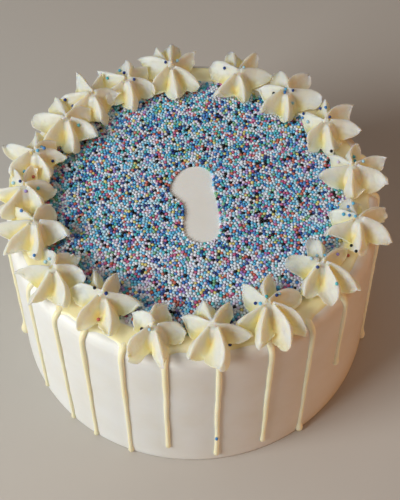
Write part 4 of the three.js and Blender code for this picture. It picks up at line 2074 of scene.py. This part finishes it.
@dataclass(frozen=True)
class Studio:
    """Camera, floor and soft light.

    The camera's place is in millimetres. It looks along +Y, turned to the right by the
    heading and down by the tilt, and rolls anticlockwise, all in degrees.
    """

    place: Point = (0.0, -352.37, 583.23)
    heading: float = 0.61
    tilt: float = 56.03
    roll: float = -0.685
    lens: float = 79.2
    sensor: float = 36.0
    clip: tuple[float, float] = (0.01, 20.0)
    frame_width: int = 400
    frame_height: int = 500
    floor_reach: float = 3.0
    floor_finish: PaleFloor = PaleFloor()
    light_aim: Point = (0.0, 0.0, 0.08)
    lights: tuple[SoftLight, ...] = (
        SoftLight("window", (-1.24, -0.63, 0.95), (0.8, 0.8), 25.6, (0.97, 1.0, 1.0)),
        SoftLight("ceiling", (0.1, 0.15, 1.5), (1.0, 1.0), 3.7, (1.0, 0.97, 0.93)),
        SoftLight("warm_room", (1.4, -0.5, 0.45), (1.2, 1.0), 6.4, (1.0, 0.39, 0.08)),
    )
    air_colour: tuple[float, float, float, float] = (1.0, 0.84, 0.7, 1.0)
    air_strength: float = 0.022

    @property
    def turned(self) -> Matrix:
        """Returns the camera's rotation; its columns point right, up and backward."""
        heading = Matrix.Rotation(-math.radians(self.heading), 3, "Z")
        tilt = Matrix.Rotation(math.radians(90 - self.tilt), 3, "X")
        return heading @ tilt @ Matrix.Rotation(math.radians(self.roll), 3, "Z")

    def sight(self, across: float, down: float) -> tuple[Vector, Vector]:
        """Gives the line of sight through a place in the picture frame.

        Args:
            across: Pixels from the left.
            down: Pixels from the top.

        Returns:
            The camera's place in millimetres and the direction.
        """
        focal = self.lens / self.sensor * self.frame_height
        x = (across - self.frame_width / 2) / focal
        y = (self.frame_height / 2 - down) / focal
        return Vector(self.place), (self.turned @ Vector((x, y, -1))).normalized()

    def build_camera(self) -> None:
        """Puts the camera in its place and makes it the scene's."""
        data = bpy.data.cameras.new("camera")
        data.lens = self.lens
        data.sensor_width = self.sensor
        data.sensor_fit = "AUTO"
        data.clip_start, data.clip_end = self.clip
        camera = bpy.data.objects.new("camera", data)
        camera.matrix_world = Matrix.Translation(Vector(self.place) * METRES) @ self.turned.to_4x4()
        bpy.context.scene.collection.objects.link(camera)
        bpy.context.scene.camera = camera

    def build_floor(self) -> None:
        """Lays the plain pale floor."""
        mesh = bpy.data.meshes.new("floor")
        reach = self.floor_reach
        corners = [(-reach, -reach, 0), (reach, -reach, 0), (reach, reach, 0), (-reach, reach, 0)]
        mesh.from_pydata(corners, [], [(0, 1, 2, 3)])
        floor = show(mesh, "floor")
        mesh.materials.append(self.floor_finish.material("pale_floor"))

    def add_light(self, light: SoftLight) -> None:
        """Adds a soft light that looks at the cake.

        Args:
            light: Light to add.
        """
        data = bpy.data.lights.new(light.name, "AREA")
        data.shape = "RECTANGLE"
        data.size, data.size_y = light.size
        data.energy = light.power
        data.color = light.colour
        lamp = bpy.data.objects.new(light.name, data)
        aim = Vector(self.light_aim) - Vector(light.place)
        turned = aim.to_track_quat("-Z", "Y").to_matrix().to_4x4()
        lamp.matrix_world = Matrix.Translation(light.place) @ turned
        bpy.context.scene.collection.objects.link(lamp)

    def build_light(self) -> None:
        """Adds the window, the pale ceiling, the warm room and the dim air round them."""
        for light in self.lights:
            self.add_light(light)
        world = bpy.data.worlds.new("air")
        world.use_nodes = True
        world.node_tree.nodes.clear()
        graph = Graph(world.node_tree)
        values = {"Color": self.air_colour, "Strength": self.air_strength}
        air = graph.node("ShaderNodeBackground", {}, values)
        graph.node("ShaderNodeOutputWorld", {}, {"Surface": air})
        bpy.context.scene.world = world
        bpy.context.scene.view_settings.view_transform = "Standard"

    def build(self) -> None:
        """Sets up the whole studio."""
        self.build_camera()
        self.build_floor()
        self.build_light()


STRAYS: tuple[StrayGrain, ...] = tuple(StrayGrain(*row) for row in (
    (230, 345, Sugar.NAVY), (98, 320, Sugar.CORAL), (337, 284, Sugar.TURQUOISE),
    (217, 438, Sugar.CORNFLOWER), (305, 251, Sugar.ICE_BLUE), (312, 258, Sugar.ICE_BLUE),
    (318, 256, Sugar.ICE_BLUE), (324, 256, Sugar.SKY_BLUE), (317, 267, Sugar.NAVY),
    (337, 254, Sugar.LAVENDER), (348, 256, Sugar.CORAL), (352, 246, Sugar.BLACK),
    (357, 251, Sugar.BLACK), (256, 303, Sugar.NAVY), (261, 303, Sugar.SKY_BLUE),
    (276, 295, Sugar.NAVY), (279, 294, Sugar.ICE_BLUE), (266, 297, Sugar.TURQUOISE),
    (353, 204, Sugar.SKY_BLUE), (349, 207, Sugar.CORNFLOWER), (350, 211, Sugar.ICE_BLUE),
    (344, 214, Sugar.SKY_BLUE), (350, 215, Sugar.CORNFLOWER), (356, 216, Sugar.SKY_BLUE),
    (332, 151, Sugar.BLACK), (339, 162, Sugar.LILAC_WHITE), (353, 157, Sugar.TURQUOISE),
    (354, 161, Sugar.SKY_BLUE), (363, 161, Sugar.ICE_BLUE), (304, 114, Sugar.NAVY),
    (303, 118, Sugar.CORNFLOWER), (308, 122, Sugar.ICE_BLUE), (321, 109, Sugar.NAVY),
    (326, 108, Sugar.CORNFLOWER), (329, 117, Sugar.NAVY), (274, 93, Sugar.BLACK),
    (285, 89, Sugar.SKY_BLUE), (285, 93, Sugar.CORNFLOWER), (293, 90, Sugar.NAVY),
    (292, 103, Sugar.ICE_BLUE), (225, 68, Sugar.NAVY), (244, 68, Sugar.ICE_BLUE),
    (166, 62, Sugar.NAVY), (177, 61, Sugar.ICE_BLUE), (120, 71, Sugar.SKY_BLUE),
    (125, 73, Sugar.NAVY), (134, 79, Sugar.NAVY), (108, 78, Sugar.TURQUOISE), (65, 100, Sugar.NAVY),
    (73, 106, Sugar.NAVY), (79, 125, Sugar.TURQUOISE), (41, 147, Sugar.SKY_BLUE),
    (44, 148, Sugar.CORNFLOWER), (38, 150, Sugar.SKY_BLUE), (53, 161, Sugar.NAVY),
    (14, 183, Sugar.ICE_BLUE), (24, 172, Sugar.SKY_BLUE), (21, 181, Sugar.NAVY),
    (33, 177, Sugar.CORAL), (26, 191, Sugar.LAVENDER), (38, 188, Sugar.TURQUOISE),
    (22, 211, Sugar.CORNFLOWER), (35, 256, Sugar.CORNFLOWER), (46, 262, Sugar.ICE_BLUE),
    (50, 259, Sugar.ICE_BLUE), (95, 288, Sugar.BLACK), (107, 293, Sugar.NAVY),
    (90, 282, Sugar.SKY_BLUE), (142, 329, Sugar.BLACK), (149, 329, Sugar.ICE_BLUE),
))


@dataclass
class StrayGrains:
    """Lays the grains that strayed on to whatever carries them."""

    studio: Studio
    carriers: list[Shape]
    radius: float = 0.76
    pressed_in: float = 0.3

    def places(self) -> dict[Sugar, list[Point]]:
        """Returns the places of the stray grains by kind, each sitting on the surface under it."""
        corners, faces, first = [], [], 0
        for points, carrier_faces in self.carriers:
            corners += [tuple(p) for p in points.tolist()]
            faces += [tuple(first + v for v in face) for face in carrier_faces]
            first += len(points)
        tree = BVHTree.FromPolygons(corners, faces)
        found: dict[Sugar, list[Point]] = {}
        for stray in STRAYS:
            start, way = self.studio.sight(stray.across, stray.down)
            hit, normal, _, _ = tree.ray_cast(start, way)
            if hit is None:
                LOG.info("no carrier under the stray grain at %s, %s", stray.across, stray.down)
                continue
            out = normal if normal.dot(way) < 0 else -normal
            seat = hit + out * (self.radius * (1 - self.pressed_in))
            found.setdefault(stray.sugar, []).append(tuple(seat))
        return found


def plain_shape(piece: bpy.types.Object) -> Shape:
    """Returns the points in millimetres and the faces of a finished piece."""
    points, faces = shape_of(piece.data)
    return points / METRES, faces


def main() -> None:
    """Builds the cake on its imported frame."""
    logging.basicConfig(level=logging.INFO, format="%(name)s %(message)s")
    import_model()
    studio = Studio()
    studio.build()
    form = CakeForm()
    iced = IcedBody(form).build()
    icing = IcingDrips(form)
    drips = icing.build()
    band = IcingBand(form, icing.drips).build()
    flowers = PipedFlowers(form)
    flowers.build()
    carriers = [*(plain_shape(piece) for piece in (iced, drips, band)), *flowers.shapes]
    strays = StrayGrains(studio, carriers).places()
    NonpareilBed(form, Numeral(), flowers).build(strays)


if __name__ == "__main__":
    main()
